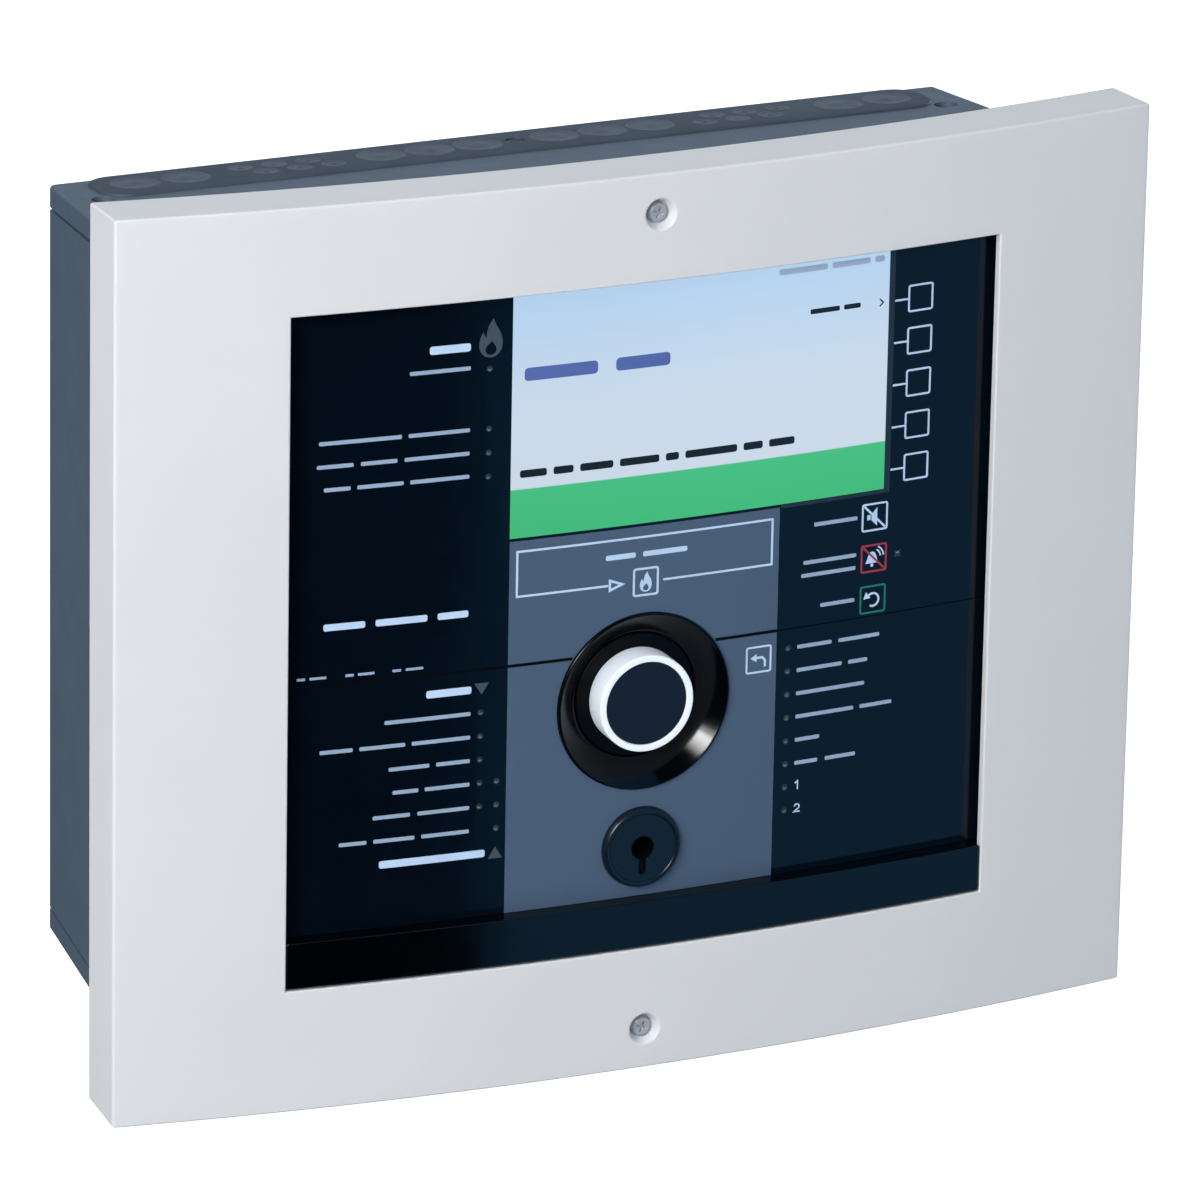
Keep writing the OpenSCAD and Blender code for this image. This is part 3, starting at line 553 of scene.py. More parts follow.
def stroke(points, w):
    """The outline of a line of width w through points, with square ends and mitred bends."""
    left, right = [], []
    for i, (x, z) in enumerate(points):
        before = Vector(points[max(i - 1, 0)])
        after = Vector(points[min(i + 1, len(points) - 1)])
        here = Vector((x, z))
        a = (here - before).normalized() if i else (after - here).normalized()
        b = (after - here).normalized() if i < len(points) - 1 else a
        along = (a + b).normalized() if (a + b).length > 1e-6 else a
        side = Vector((-along.y, along.x)) * (w / 2 / max(along.dot(a), 0.35))
        left.append(tuple(here + side))
        right.append(tuple(here - side))
    return left + right[::-1]


def bezier(points, steps=10):
    """A closed outline of cubic pieces: corner, handle, handle, corner, handle, handle, and so on."""
    out = []
    ring = points + points[:1]
    for i in range(0, len(points), 3):
        a, b, c, d = (Vector(p) for p in ring[i:i + 4])
        for k in range(steps):
            t = k / steps
            s = 1 - t
            out.append(tuple(a * s ** 3 + b * 3 * s * s * t + c * 3 * s * t * t + d * t ** 3))
    return out


def moved(loop, x, z, scale=1.0):
    """A loop scaled about the origin, then moved."""
    return [(x + px * scale, z + pz * scale) for px, pz in loop]


def words(x0, x1, base, letters, height=1.5):
    """A label's words as plain rounded bars, each as long as its share of the letters."""
    unit = (x1 - x0) / (sum(letters) + len(letters) - 1)
    bars, x = [], x0
    for count in letters:
        bars.append([rect(x, base, x + unit * count, base + height, height * 0.3)])
        x += unit * (count + 1)
    return bars


def flame():
    """A flame 10 wide and 17 high about the origin, with a hollow for its inner tongue."""
    outer = bezier([(1.2, 8.6), (1.6, 5.2), (5.2, 2.6), (5.2, -2.2), (5.2, -6.2), (2.6, -8.4), (0, -8.4),
                    (-2.8, -8.4), (-5.2, -6.2), (-5.2, -2.6), (-5.2, -0.2), (-4.2, 1.4), (-3.4, 2.9),
                    (-3.0, 1.6), (-2.6, 0.9), (-1.8, 0.4), (-2.2, 3.6), (-0.6, 6.6)])
    inner = bezier([(0.5, -0.9), (0.7, -2.4), (2.6, -3.2), (2.5, -5.2), (2.4, -6.6), (1.2, -7.3), (0, -7.3),
                    (-1.3, -7.3), (-2.4, -6.4), (-2.4, -5.0), (-2.4, -3.0), (-0.1, -2.6)])
    return [outer, inner]


def on_bow(name, shapes, material, proud=0.05):
    """One piece of thin printed marks on the fascia, proud of it by some millimetres.

    Each shape is an outer loop, and holes if it has any, in millimetres.
    """
    bm = bmesh.new()
    sunk = 0.03 * MM
    for shape in shapes:
        loops = [[Vector((x * MM, z * MM, 0)) for x, z in loop] for loop in shape]
        flat = [p for loop in loops for p in loop]
        front = [bm.verts.new((p.x, -proud * MM, p.y)) for p in flat]
        back = [bm.verts.new((p.x, sunk, p.y)) for p in flat]
        for a, b, c in tessellate_polygon(loops):
            bm.faces.new((front[a], front[b], front[c]))
            bm.faces.new((back[c], back[b], back[a]))
        start = 0
        for loop in loops:
            n = len(loop)
            for i in range(n):
                p, q = start + i, start + (i + 1) % n
                bm.faces.new((front[p], front[q], back[q], back[p]))
            start += n
    # cut into strips, narrow enough to follow the bow
    strip = 6 * MM
    reach = int(max(abs(v.co.x) for v in bm.verts) / strip)
    for k in range(-reach, reach + 1):
        bmesh.ops.bisect_plane(bm, geom=bm.verts[:] + bm.edges[:] + bm.faces[:], plane_co=(k * strip, 0, 0),
                               plane_no=(1, 0, 0))
    for v in bm.verts:
        v.co.y += skin(v.co.x, FASCIA_INSET)
    add_piece(name, bm, material, "front_door", smooth=20)


def key_frame(x, z, half):
    """A key's square outline."""
    return frame_of(x - half, z - half, x + half, z + half, LINE, 1.0)


def arrow_icon(x, z):
    """A bent arrow that turns back to the left."""
    tail = stroke([(x + 2.6, z - 3.0), (x + 2.6, z - 0.6), (x + 1.5, z + 0.7), (x - 1.2, z + 0.7)], 0.9)
    return [[tail], [[(x - 3.4, z + 0.7), (x - 0.9, z + 2.3), (x - 0.9, z - 0.9)]]]


def reset_icon(x, z):
    """An open circle that ends in an arrowhead."""
    return [[stroke(arc(x, z - 0.2, 2.5, -115, 150, 28), 0.8)],
            [[(x - 3.9, z + 0.3), (x - 1.0, z + 0.6), (x - 2.9, z + 3.1)]]]


def speaker_icon(x, z):
    """A loudspeaker."""
    return [[[(x - 2.9, z - 1.0), (x - 1.5, z - 1.0), (x - 1.5, z + 1.0), (x - 2.9, z + 1.0)]],
            [[(x - 1.1, z - 1.2), (x + 1.3, z - 3.6), (x + 1.3, z + 3.6), (x - 1.1, z + 1.2)]]]


def bell_icon(x, z):
    """A ringing bell."""
    bell = bezier([(-2.9, -1.9), (-1.6, -1.0), (-2.2, 2.6), (0.0, 2.6), (2.2, 2.6), (1.6, -1.0), (2.9, -1.9),
                   (1.0, -1.9), (-1.0, -1.9)], 6)
    shapes = [[moved(bell, x - 0.7, z)], [disc(x - 0.7, z - 2.7, 0.65, 16)]]
    for r in (3.2, 4.5):
        shapes.append([stroke(arc(x - 0.4, z + 0.3, r, 5, 62, 10), 0.6)])
    return shapes


def lamp_rows():
    """The numerals, headings and labels beside the lamps: bright shapes, then dimmer ones."""
    pale, labels = [], []
    # left column, from the top: heading, one row beside its own lamp, and three rows
    pale += words(-85.8, -70.2, 111.6, [4], 3.1)
    labels += words(-93.3, -70.1, 104.4, [8])
    for x0, z, letters in ((-127.2, 80.9, [12, 9]), (-127.9, 72.0, [5, 5, 9]), (-125.2, 63.2, [4, 7, 9])):
        labels += words(x0, -70.1, z, letters)
    pale += words(-124.9, -69.7, 10.0, [4, 5, 3], 2.6)
    for x0, x1 in ((-134.8, -123.6), (-116.4, -105.4), (-98.6, -86.8)):
        labels += words(x0, x1, -8.3, [2, 4], 1.0)
    pale += words(-85.5, -68.1, -19.9, [5], 2.9)
    left_rows = ((-101.4, [11]), (-125.9, [5, 7, 9]), (-99.6, [6, 5]), (-98, [4, 7]), (-105.5, [5, 7]),
                 (-118.3, [4, 6, 7]))
    for i, (x0, letters) in enumerate(left_rows):
        labels += words(x0, -68.3, -28.4 - i * LAMP_PITCH, letters)
    pale += words(-102.9, -62, -84.2, [11], 2.9)
    # right column, beside its lamps, the last two of them numbered
    right_rows = ((97.1, [5, 6]), (92.3, [7, 3]), (91.3, [10]), (103.1, [9, 5]), (72.8, [4]), (88.2, [3, 4]))
    for i, (x1, letters) in enumerate(right_rows):
        labels += words(62.6, x1, -19.3 - i * LAMP_PITCH, letters)
    one, two = (-19.9 - i * LAMP_PITCH for i in (6, 7))
    pale += [[stroke([(63.0, one + 2.5), (64.2, one + 3.3), (64.2, one)], 0.5)]]
    pale += [[stroke(arc(64.1, two + 2.3, 1.0, 170, -35, 12) + [(63.0, two + 0.3), (65.4, two + 0.3)], 0.5)]]
    # labels of the three icon keys
    for x0, x1, z, letters in ((68.4, 86.5, 27.6, [6]), (64.3, 86.4, 13.2, [7]), (63.5, 86.2, 8.2, [7]),
                               (71.8, 86.1, -4.3, [5])):
        labels += words(x0, x1, z, letters)
    return pale, labels


def key_slash(x, z, half):
    """A line across a key, from its upper left to its lower right."""
    return [stroke([(x - half + 1, z + half - 1), (x + half - 1, z - half + 1)], 0.8)]


def fascia_prints():
    """Everything printed on the fascia: headings, labels, numerals, lamps' marks and key frames."""
    pale, labels = lamp_rows()
    on_bow("print_labels", labels, INK_LABEL)
    x, z, pitch, half = SOFT_KEY
    link_start = 99.9
    for i in range(5):
        level = z - i * pitch
        pale.append(key_frame(x, level, half))
        pale.append([rect(link_start, level - LINE / 2, x - half - 0.02, level + LINE / 2, 0.1)])
    x, z, pitch, half = ICON_KEY
    pale.append(key_frame(x, z, half))
    pale += speaker_icon(x - 0.3, z) + bell_icon(x, z - pitch) + reset_icon(x, z - 2 * pitch)
    on_bow("print_pale", pale, INK_PALE)
    on_bow("print_slash", [key_slash(x, z, half)], INK_PALE, proud=0.07)
    on_bow("print_red", [key_frame(x, z - pitch, half), key_slash(x, z - pitch, half)], INK_RED, proud=0.08)
    on_bow("print_green", [key_frame(x, z - 2 * pitch, half)], INK_GREEN)
    grey = [[moved(loop, -62.5, 115.8, 0.87) for loop in flame()],
            [[(-66.9, -16.2), (-61.3, -16.2), (-64.1, -20.6)]],
            [[(-60.8, -85.2), (-55.2, -85.2), (-58, -80.6)]],
            [stroke([(102.7, 10.8), (105.1, 13.2)], 0.35)], [stroke([(102.7, 13.2), (105.1, 10.8)], 0.35)]]
    on_bow("print_grey", grey, INK_GREY)
    edge_lines()


def edge_lines():
    """The screen's dark edge, and the seam across the fascia and the film, broken by the dish: a dark strip
    that is partly the real joint and partly its painted shade, drawn wider than the gap.
    """
    pane, foot, film = pane_high.x / MM, pane_low.z / MM, film_high.x / MM
    bezel = [[rect(pane + 0.15, foot - 1.6, pane + 2.4, window_top / MM + 1, 0.1)],
             [rect(film + 0.3, foot - 1.6, pane + 0.1, foot - 0.2, 0.1)]]
    on_bow("print_bezel", bezel, INK_SHADE, proud=0.04)
    # the seam strips: the real joint, widened with painted shade
    on_bow("seam_painted_shade", [[rect(-window_half / MM + 0.5, seam_z - 0.65, -film - 0.3, seam_z + 0.4, 0.05)]],
           BLACK_AND_SHADE, proud=0.03)
    dish_r = 35.2
    gap = math.sqrt(dish_r ** 2 - (seam_z + 0.15 - centre_of("jog_knob").z / MM) ** 2)
    on_bow("seam_painted_shade_film", [[rect(x0, seam_z - 0.7, x1, seam_z + 0.5, 0.05)]
                              for x0, x1 in ((-film, -gap), (gap, film))], BLACK_AND_SHADE, proud=0.03)


def film_prints():
    """The alarm frame, its icon, arrow and label, and the back key, printed on the grey film."""
    w = 0.85
    border = stroke([(7.0, 15.4), (51.1, 15.4), (51.1, 32.9), (-51.0, 32.9), (-51.0, 15.6), (-15.0, 15.6)], w)
    arrow = [(-14.8, 18.2), (-14.8, 13.0), (-8.2, 15.6)]
    hole = [(-13.9, 16.8), (-13.9, 14.4), (-10.7, 15.6)]
    shapes = [[border], [arrow, hole], frame_of(-5.2, 9.9, 5.2, 21.0, w, 1.2)]
    shapes.append([moved(loop, 0, 15.4, 0.46) for loop in flame()])
    shapes += words(-16.1, 16.4, 25.3, [4, 6], 2.0)
    x, z, half = BACK_KEY
    shapes.append(key_frame(x, z, half))
    shapes += arrow_icon(x, z)
    on_bow("print_film", shapes, INK_PALE)


def screen_marks():
    """Plain bars and a pointer where the screen shows its words."""
    dark = words(-50.5, 59.3, 61.2, [4, 3, 5, 6, 2, 8, 3, 4], 2.9)
    dark += words(64.6, 85.4, 110.1, [7, 4], 1.9)
    dark.append([stroke([(93.4, 112.2), (94.9, 110.8), (93.4, 109.4)], 0.55)])
    on_bow("screen_dark_marks", dark, SCREEN_DARK)
    on_bow("screen_title", words(-49.3, 8.0, 98.0, [4, 3], 5.0), SCREEN_BLUE)
    on_bow("screen_clock", words(51.4, 95.0, 126.6, [10, 8, 2], 2.3), SCREEN_GREY)


def lens_painted_highlights():
    """A small dome in the middle of each indicator lens, whose pale colour is a painted highlight."""
    lenses, domes = bmesh.new(), bmesh.new()
    lenses.from_mesh(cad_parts["indicator_lenses"].data)
    r, sunk, rise = 0.78 * MM, 0.15 * MM, 0.2 * MM
    done = set()
    for first in lenses.verts:
        if first in done:
            continue
        lens, edge = set(), [first]
        while edge:
            vert = edge.pop()
            if vert not in lens:
                lens.add(vert)
                edge += [e.other_vert(vert) for e in vert.link_edges]
        done |= lens
        x, z = ((min(v.co[axis] for v in lens) + max(v.co[axis] for v in lens)) / 2 for axis in (0, 2))
        front = skin(x, FASCIA_INSET - 0.04 * MM)
        profile = [(0, front + sunk), (r, front + sunk)]
        profile += [(r * math.cos(a), front - rise * math.sin(a)) for a in (0, 0.35, 0.7, 1.05, 1.3)]
        lathe(domes, profile + [(0, front - rise)], (x, z), 24)
    lenses.free()
    add_piece("lens_painted_highlights", domes, LENS_HIGHLIGHT, "front_door", smooth=60)


# ---- jog wheel and lock

def jog_pieces():
    """The dish, the wheel and its cap, turned from rounded profiles."""
    centre = centre_of("jog_knob")
    at = (centre.x, centre.z)
    dish_low, dish_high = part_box("jog_dish")
    flange_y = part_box("jog_flange")[0].y
    knob_low, knob_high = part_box("jog_knob")
    r = (dish_high.x - dish_low.x) / 2
    front, back, film = dish_low.y, dish_high.y, skin(0, FASCIA_INSET)
    inner = 24.25 * MM
    profile = [(inner, back), (inner, flange_y + 0.3 * MM), (25.3 * MM, flange_y - 0.3 * MM),
               (r - 1.25 * MM, film - 0.55 * MM), (r - 0.8 * MM, front), (r - 0.1 * MM, front + 0.25 * MM),
               (r, film + 0.36 * MM), (r - 2.1 * MM, film + 0.36 * MM), (r - 2.1 * MM, back - 4.5 * MM),
               (28 * MM, back), (inner, back)]
    dish = turned(rounded(profile, 0.35 * MM)[:-1], at, 160, close=True)
    add_piece("dish_moulding", dish, GLOSS, "front_door", ["jog_dish"], smooth=50)

    knob_r, y = (knob_high.x - knob_low.x) / 2, knob_low.y
    bore = knob_r - 2.6 * MM
    profile = [(bore, knob_high.y), (bore, y + 0.5 * MM), (bore + 0.25 * MM, y), (knob_r, y),
               (knob_r, knob_high.y), (bore, knob_high.y)]
    ring = turned(rounded(profile, 0.75 * MM, 5)[:-1], at, 160, close=True)
    add_piece("wheel_ring", ring, KNOB_SELF_LIT, "jog_wheel", ["jog_knob"], smooth=50)

    cap_r, cap_back = bore - 0.1 * MM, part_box("jog_cap")[1].y
    crown = [(cap_r * i / 8, y + 0.55 * MM - 0.35 * MM * math.cos(i / 8 * math.pi / 2)) for i in range(8)]
    profile = crown + [(cap_r, y + 0.62 * MM), (cap_r, cap_back), (cap_r - 1.4 * MM, cap_back),
                       (cap_r - 1.4 * MM, y + 3 * MM), (0, y + 3 * MM)]
    cap = turned(rounded(profile, 0.3 * MM, 3), at)
    add_piece("wheel_cap", cap, CAP, "jog_wheel", ["jog_cap"], smooth=50)
    refined("jog_flange", "wheel_flange", BLACK_AND_SHADE, "jog_wheel", 0.3 * MM)


def lock_pieces():
    """The lock's raised ring, its barrel, and a black sheet of painted shade inside the keyhole."""
    centre = centre_of("lock_ring")
    at = (centre.x, centre.z)
    low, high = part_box("lock_ring")
    barrel_low, barrel_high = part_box("lock_barrel")
    r, bore = (high.x - low.x) / 2, (barrel_high.x - barrel_low.x) / 2 + 0.08 * MM
    neck, seat = 8.5 * MM, 11 * MM
    front, film = low.y, skin(0, FASCIA_INSET) + 0.35 * MM
    profile = [(neck, front + 2.1 * MM), (bore, front + 2.1 * MM), (bore, front + 0.35 * MM),
               (bore + 0.7 * MM, front), (r - 0.9 * MM, front), (r, front + 1.3 * MM), (r, film),
               (seat, film), (seat, high.y), (neck, high.y), (neck, front + 2.1 * MM)]
    ring = turned(rounded(profile, 0.5 * MM, 4)[:-1], at, close=True)
    add_piece("lock_bezel", ring, LOCK, "front_door", ["lock_ring"], smooth=50)
    refined("lock_barrel", "lock_plug", LOCK, "lock_core", 0.25 * MM, 2, 50)
    # a thin black sheet in the keyhole and its slot: painted shade, where the real hole is only in shadow
    hole, mouth, floor, wall = 4.5 * MM, front + 1.1 * MM, front + 11.9 * MM, 0.25 * MM
    keyhole_shade = turned([(0, floor), (hole, floor), (hole, mouth), (hole - wall, mouth),
                     (hole - wall, floor - wall), (0, floor - wall)], at, 64)
    slot_half, slot_y, slot_foot, slot_top = 1.45 * MM, front + 1.7 * MM, 10.3 * MM, 4.6 * MM
    box_into(keyhole_shade, (-slot_half, slot_y, centre.z - slot_foot),
             (slot_half, slot_y + 0.35 * MM, centre.z - slot_top))
    add_piece("keyhole_painted_shade", keyhole_shade, BLACK_AND_SHADE, "lock_core")


# ---- back box

def back_box_pieces():
    """The box and its caps with rounded edges."""
    refined("rear_shell", "box_shell", BOX, "back_box", 0.35 * MM, 2, 40)
    refined("top_cap", "cap_top", BOX, "back_box", 0.4 * MM, 2, 40)
    refined("bottom_cap", "cap_bottom", BOX, "back_box", 0.4 * MM, 2, 40)
    refined("chin_bar", "chin_moulding", CHIN, "front_door", 0.5 * MM, 3, 40)
    refined("cover_screws", "cover_screw_set", SCREW, "cover", 0.15 * MM, 2, 40)
    for side in ("left", "right"):
        refined("battery_" + side, "battery_case_" + side, BATTERY, "back_box", 1.2 * MM)
    refined("ui_chassis", "chassis_moulding", BLACK, "front_door", 0.3 * MM)


def solids(name, boxes, material, bevel=0.3, body="back_box"):
    """One piece made of separate boxes, each given by two corners in millimetres."""
    bm = bmesh.new()
    for low, high in boxes:
        box_into(bm, Vector(low) * MM, Vector(high) * MM, bevel * MM)
    add_piece(name, bm, material, body)


def cans(name, places, base, material, body="back_box", toward=-1):
    """One piece made of round cans, each given by x, z, radius and height, on a face at y = base."""
    bm = bmesh.new()
    for x, z, r, h in places:
        top = base + toward * h
        profile = [(0, base), (r, base), (r, top - toward * 0.5), (r - 0.5, top), (0.55 * r, top),
                   (0.5 * r, top - toward * 0.3), (0, top - toward * 0.3)]
        lathe(bm, in_metres(profile), (x * MM, z * MM), 32)
    add_piece(name, bm, material, body)


def flat_on(y, rects, h):
    """Boxes of height h standing towards the viewer on a face at y, from (x, z, width, height) each."""
    return [((x, y - h, z), (x + w, y, z + t)) for x, z, w, t in rects]


def main_board_details():
    """Relays, chips, sockets and small parts on the main board, and the terminals' clamps."""
    left, face, foot = (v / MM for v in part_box("main_board")[0])
    bays = [left + 16 + 21 * i for i in range(8)]
    relays = [(x + 1, 68, 17, 9) for x in bays]
    solids("board_relays", flat_on(face, relays, 11) + flat_on(face, [(-40, 44, 18, 18)], 14), BATTERY,
           0.5)
    chips = [(108, 22, 20, 20), (104, 52, 10, 14), (120, 52, 10, 14), (14, 8, 12, 12), (56, 8, 12, 12),
             (14, 36, 18, 8), (56, 36, 18, 8), (-16, 30, 8, 12), (134, 26, 8, 10), (-38, -14, 14, 7)]
    solids("board_chips", flat_on(face, chips, 1.8), CHIP, 0.15)
    sockets = [(x, foot + 3, w, 7) for x, w in ((96, 36), (-12, 12), (12, 24), (54, 24))]
    solids("board_sockets", flat_on(face, sockets, 9), CONNECTOR, 0.4)
    pins = [(x + 2 + 3 * i, z + 2.6, 1, 1) for x, z, w, _ in sockets for i in range(int((w - 2) / 3))]
    solids("board_socket_pins", flat_on(face - 9, pins, 1), BRASS, 0.1)
    tall = [(-34, 28, 5, 15), (-22, 22, 4, 11), (-34, 12, 5, 15)]
    low_cans = [(x, z, 3.2, 8) for x, z in ((-22, 8), (98, 8), (98, -4), (30, -10), (72, -10))]
    cans("board_capacitors", tall + low_cans, face, ALUMINIUM)
    cans("board_coin_cell", [(132, 2, 10, 4)], face, STEEL)
    small = [(88 + 4 * i, 14 + 5 * (i % 3), 2, 1.2) for i in range(4)]
    small += row_parts(((104, 46, 8), (14, 30, 5), (56, 30, 5), (-14, 50, 4), (-14, 56, 4), (108, 16, 6),
                        (-36, -4, 6)), 3.6)
    solids("board_small_parts", flat_on(face, small, 0.8), CONNECTOR, 0.1)
    clamps = [(x + 3.6 + 6.1 * k, 92.6, 1.7, 0.6) for x in bays for k in range(3)]
    cans("terminal_clamps", clamps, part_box("terminal_blocks")[0].y / MM + 0.2, STEEL)


def row_parts(rows, pitch):
    """Small parts, 2 by 1.2, in rows given by their start's x and z and their count."""
    return [(x + pitch * i, z, 2, 1.2) for x, z, count in rows for i in range(count)]


def card_details():
    """Chips and relays on the side of each loop card."""
    thick = 1.6
    chips, blocks = [], []
    for x in (4, 44, 84):
        side = x + thick
        chips += [((side, -60, 24), (side + 1.6, -46, 36)), ((side, -44, 4), (side + 1.6, -36, 12)),
                  ((side, -66, -10), (side + 1.2, -58, -4)), ((x - 1.0, -74, 40), (x, -60, 56))]
        blocks += [((side, -64, 44), (side + 9, -48, 54)), ((side, -44, 40), (side + 9, -32, 56))]
    solids("card_chips", chips, CHIP, 0.15)
    solids("card_relays", blocks, BATTERY, 0.5)


def supply_details():
    """The label, terminal strip and screws of the power supply."""
    low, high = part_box("power_supply")
    step, x0, x1 = low.y / MM, low.x / MM, high.x / MM
    face = step + 12
    solids("supply_label", [((x0 + 22, face - 0.15, 64), (x1 - 22, face, 71))], CONNECTOR, 0.05)
    corners = [(x, z, 2.6, 1.1) for x in (x0 + 5, x1 - 5) for z in (low.z / MM + 5, 68)]
    cans("supply_screws", corners, face, STEEL)
    strip = ((x0 + 10, step - 1.2, 77), (x1 - 10, step, 89))
    solids("supply_terminal_strip", [strip], BLACK)
    terminals = [(x0 + 18 + 12.4 * i, 83, 3.4, 1.2) for i in range(6)]
    cans("supply_terminals", terminals, step - 1.2, STEEL)


def battery_details():
    """A plain label and a lid line on each battery."""
    lines, labels = [], []
    for node in ("battery_left", "battery_right"):
        low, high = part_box(node)
        x0, x1, front, foot = low.x / MM, high.x / MM, low.y / MM, low.z / MM
        labels.append(((x0 + 30, front - 0.12, foot + 62), (x1 - 30, front, foot + 80)))
        lines.append(((x0 + 1.5, front - 0.25, foot + 84.5), (x1 - 1.5, front, foot + 86)))
    solids("battery_labels", labels, CONNECTOR, 0.04)
    solids("battery_lid_lines", lines, BATTERY, 0.1)


def interface_details():
    """Parts on the rear of the interface board, seen when the door is open."""
    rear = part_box("ui_board")[1].y / MM
    chips = [(-96, 40, 22, 22), (-64, 44, 10, 16), (-104, 74, 14, 7), (36, 60, 14, 14), (60, 30, 12, 8),
             (-100, 4, 12, 12), (40, -8, 9, 9), (104, 10, 9, 14)]
    solids("interface_chips", flat_on(rear + 1.8, chips, 1.8), CHIP, 0.15, "front_door")
    small = row_parts(((-98, 34, 6), (-98, 66, 5), (36, 54, 8), (36, 78, 8), (-90, -16, 9), (60, 22, 6),
                       (98, -8, 8), (-60, 34, 4)), 3.8)
    solids("interface_small_parts", flat_on(rear + 0.8, small, 0.8), CONNECTOR, 0.1,
           "front_door")
    capacitors = [(48, 92, 4, 8), (60, 92, 4, 8), (-116, 50, 4, 8), (120, -24, 3.2, 6), (120, -36, 3.2, 6)]
    cans("interface_capacitors", capacitors, rear, ALUMINIUM, "front_door", toward=1)


def cap_slope():
    """Lays a drawing on the top cap: X along it, Y up its slope to the wall, Z out of it."""
    low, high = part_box("top_cap")
    top_at_wall = high.z - FLARE_Z * (high.y - low.y)
    return Matrix.Translation((0, 0, top_at_wall)) @ Matrix.Rotation(-math.atan(FLARE_Z), 4, "X")


def entry_plate():
    """The rubber plate with its screw recess, and a bead, a membrane and a dimple at each entry."""
    bm = bmesh.new()
    rings = []
    for inset, height in ((3.2, -3.6), (3.2, 0), (0, 0.01), (0, 0.55), (0.25, 0.85), (0.7, 0.98)):
        outline = rect(inset - ENTRY_HALF, inset + ENTRY_Y - ENTRY_HALF_W, ENTRY_HALF - inset,
                       ENTRY_Y + ENTRY_HALF_W - inset, ENTRY_CORNER - inset, 12)
        rings.append([bm.verts.new((x * MM, y * MM, height * MM)) for x, y in outline])
    for a, b in zip(rings, rings[1:]):
        for i in range(len(a)):
            j = (i + 1) % len(a)
            bm.faces.new((a[i], a[j], b[j], b[i]))
    bm.faces.new(rings[0])
    bm.faces.new(rings[-1])
    plate = add_piece("entry_rubber_plate", bm, RUBBER, "back_box", ["cable_entry_plate"])
    recess = bmesh.new()
    bmesh.ops.create_cone(recess, cap_ends=True, segments=48, radius1=3.7 * MM, radius2=3.9 * MM,
                          depth=4 * MM, matrix=Matrix.Translation((0, (ENTRY_Y + 1) * MM, 1.2 * MM)))
    combine(plate, "DIFFERENCE", recess)
    plate.data.transform(cap_slope())
    bm = bmesh.new()
    for side in (-1, 1):
        for x in LARGE_ENTRIES:
            membrane(bm, side * x, ENTRY_Y, 8.6)
        for i in range(3):
            for row in (0, 1):
                membrane(bm, side * (SMALL_START + (i + row / 2) * SMALL_PITCH),
                         ENTRY_Y + (row - 0.5) * ROW_PITCH, 4.1)
    membranes = add_piece("entry_membranes", bm, MEMBRANE, "back_box")
    membranes.data.transform(cap_slope())


def membrane(bm, x, y, r):
    """A bead, a shallow dish inside it and a small dimple, on the plate at (x, y), in millimetres."""
    profile = [(r + 0.9, 0.9), (r + 0.55, 1.18), (r, 1.26), (r - 0.6, 1.1), (r * 0.72, 1), (r * 0.3, 1.06),
               (r * 0.2, 1.3), (r * 0.1, 1.3), (0, 1.1), (0, 0.4), (r + 0.9, 0.4)]
    lathe(bm, in_metres(profile), (x * MM, y * MM), 36, close=True, upright=True)


# ---- floor, light and camera

def floor_and_light():
    """A pale floor far below, even light all round, and three softboxes."""
    bm = bmesh.new()
    bmesh.ops.create_grid(bm, x_segments=1, y_segments=1, size=30)
    mesh = bpy.data.meshes.new("floor")
    bm.to_mesh(mesh)
    bm.free()
    floor = bpy.data.objects.new("floor", mesh)
    bpy.context.scene.collection.objects.link(floor)
    floor.location.z = FLOOR_Z
    floor.visible_glossy = floor.visible_diffuse = False
    pale = plastic("floor_pale", (0.93, 0.935, 0.94), 0.8, vary=0.004, grain=0, cloud=1)
    mesh.materials.append(glowing(pale, (1, 1, 1), 0.9))
    world_light()
    area_light("key", (-1.5, -1.32, 1.1), 1.3, 1.05, 35, soft=True)
    area_light("side", (2.3, 1.0, 0.4), 1.2, 1.2, 22)
    glint = area_light("glint", (-1.25, -1.35, 1.06), 0.8, 0.65, 45, soft=True)
    glint.visible_diffuse = False


def math_node(tree, operation, a, b):
    """One operation on two signals or numbers."""
    return add_node(tree, "ShaderNodeMath", {0: a, 1: b}, operation=operation).outputs[0]


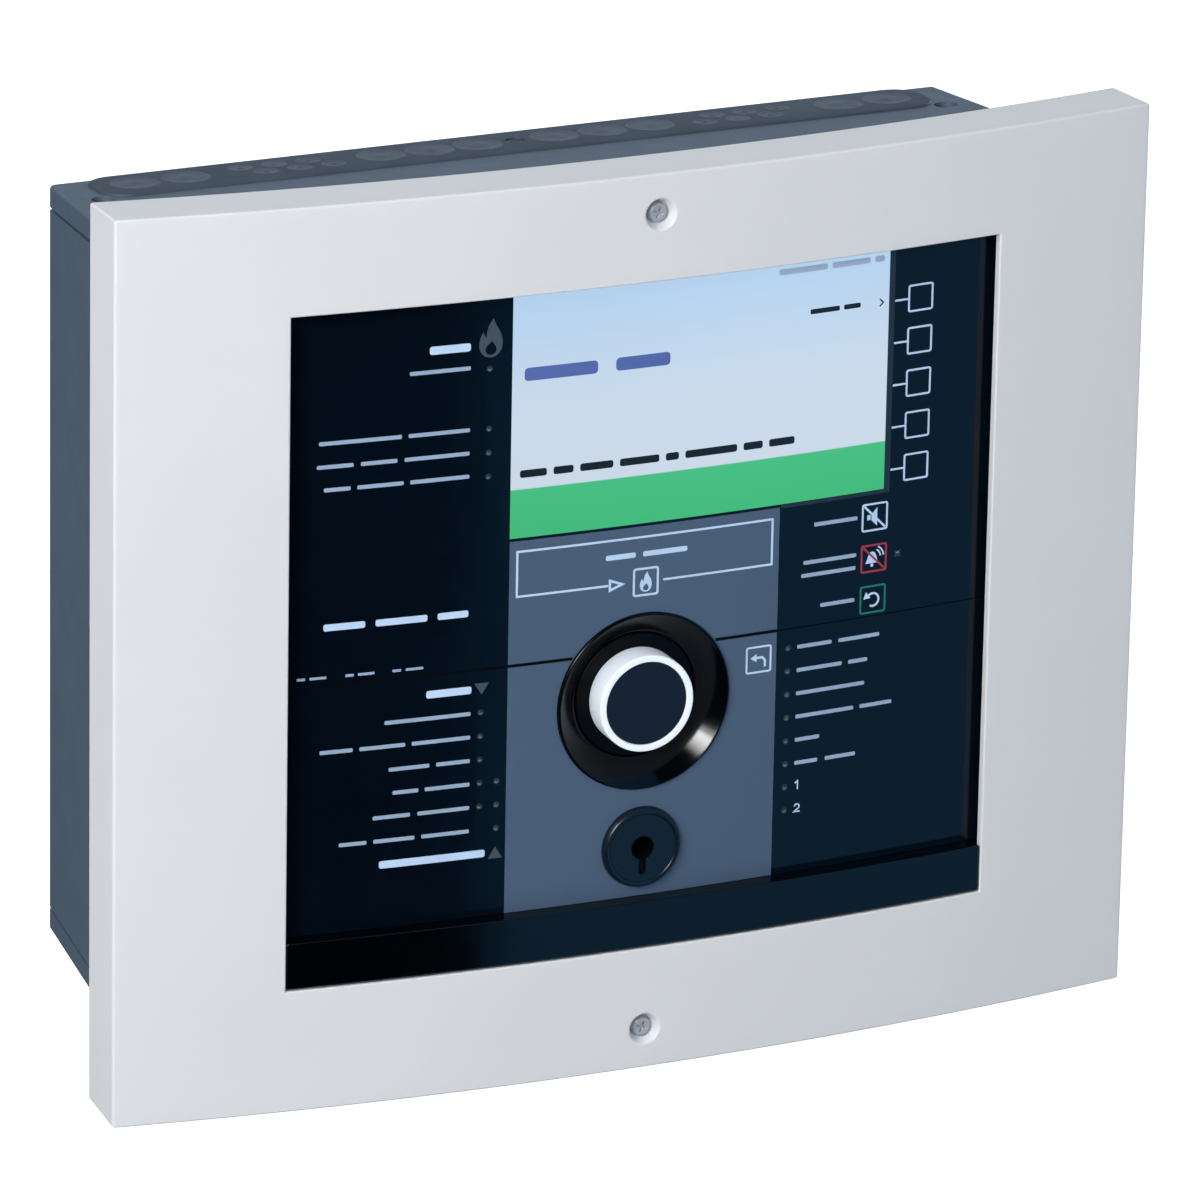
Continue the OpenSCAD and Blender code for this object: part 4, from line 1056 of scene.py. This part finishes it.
def world_light():
    """Even pale light. Gloss sees a dark room, a blue wall to the front right and a pale back."""
    world = bpy.data.worlds.new("studio")
    bpy.context.scene.world = world
    world.use_nodes = True
    tree = world.node_tree
    tree.nodes.clear()

    def background(colour, strength):
        values = {"Color": (*colour, 1), "Strength": strength}
        return add_node(tree, "ShaderNodeBackground", values).outputs["Background"]

    def mixed(factor, first, second):
        return add_node(tree, "ShaderNodeMixShader", {"Fac": factor, 1: first, 2: second}).outputs["Shader"]

    place = add_node(tree, "ShaderNodeTexCoord").outputs["Generated"]
    split = add_node(tree, "ShaderNodeSeparateXYZ", {"Vector": place})
    x, y, z = (split.outputs[axis] for axis in "XYZ")
    turn = math_node(tree, "ARCTAN2", x, math_node(tree, "MULTIPLY", y, -1))
    limit = math.radians(90)
    edge = (limit + math.radians(18)) / (2 * limit)
    wall = grey_ramp(tree, turn, -limit, limit, ((0, 0), (edge - 0.003, 0), (edge + 0.003, 1), (1, 1)))
    behind = grey_ramp(tree, y, 0.0, 0.6, ((0, 0), (1, 1)))
    above = grey_ramp(tree, z, -0.05, 0.25, ((0, 0), (1, 1)))
    back = math_node(tree, "MULTIPLY", behind, above)
    room = mixed(back, background((0.14, 0.45, 0.86), wall), background((0.9, 0.95, 1.0), 0.55))
    path = add_node(tree, "ShaderNodeLightPath")
    seen = mixed(path.outputs["Is Glossy Ray"], background((0.955, 0.98, 1.0), 0.51), room)
    seen = mixed(path.outputs["Is Camera Ray"], seen, background((1, 1, 1), 1.0))
    add_node(tree, "ShaderNodeOutputWorld", {"Surface": seen})


def area_light(name, place, width, height, power, soft=False):
    """A rectangular softbox that faces the panel. A soft one fades towards its top."""
    target = Vector((0, -0.1, 0))
    light = bpy.data.lights.new(name, "AREA")
    light.shape = "RECTANGLE"
    light.size, light.size_y = width, height
    light.energy = power
    if soft:
        light.use_nodes = True
        tree = light.node_tree
        on_light = add_node(tree, "ShaderNodeNewGeometry").outputs["Parametric"]
        rise = add_node(tree, "ShaderNodeSeparateXYZ", {"Vector": on_light}).outputs["Y"]
        fade = grey_ramp(tree, rise, 0, 1, ((0, 1.8), (0.35, 1.4), (1, 0.15)))
        fill(tree, tree.nodes["Emission"], {"Strength": fade})
    holder = bpy.data.objects.new(name, light)
    holder.location = place
    holder.rotation_euler = (target - Vector(place)).to_track_quat("-Z", "Y").to_euler()
    bpy.context.scene.collection.objects.link(holder)
    return holder


def make_camera():
    """A long lens from above and to the left of the panel."""
    place = Vector((-1.4824, -3.3903, 1.2744))
    yaw, pitch, roll = (math.radians(a) for a in (24.253, -19.522, 1.0855))
    data = bpy.data.cameras.new("camera")
    data.lens, data.sensor_width = 310.9, 36
    camera = bpy.data.objects.new("camera", data)
    ahead = Vector((math.sin(yaw) * math.cos(pitch), math.cos(yaw) * math.cos(pitch), math.sin(pitch)))
    right = Vector((math.cos(yaw), -math.sin(yaw), 0))
    up = right.cross(ahead)
    right, up = (math.cos(roll) * right + math.sin(roll) * up, math.cos(roll) * up - math.sin(roll) * right)
    turn = Matrix((right, up, -ahead)).transposed().to_4x4()
    camera.matrix_world = Matrix.Translation(place) @ turn
    bpy.context.scene.collection.objects.link(camera)
    bpy.context.scene.camera = camera


make_camera()
dress_nodes()
cover_shell()
fascia_prints()
film_prints()
screen_marks()
lens_painted_highlights()
jog_pieces()
lock_pieces()
back_box_pieces()
entry_plate()
main_board_details()
card_details()
supply_details()
battery_details()
interface_details()
floor_and_light()
bpy.context.scene.view_settings.view_transform = "Standard"
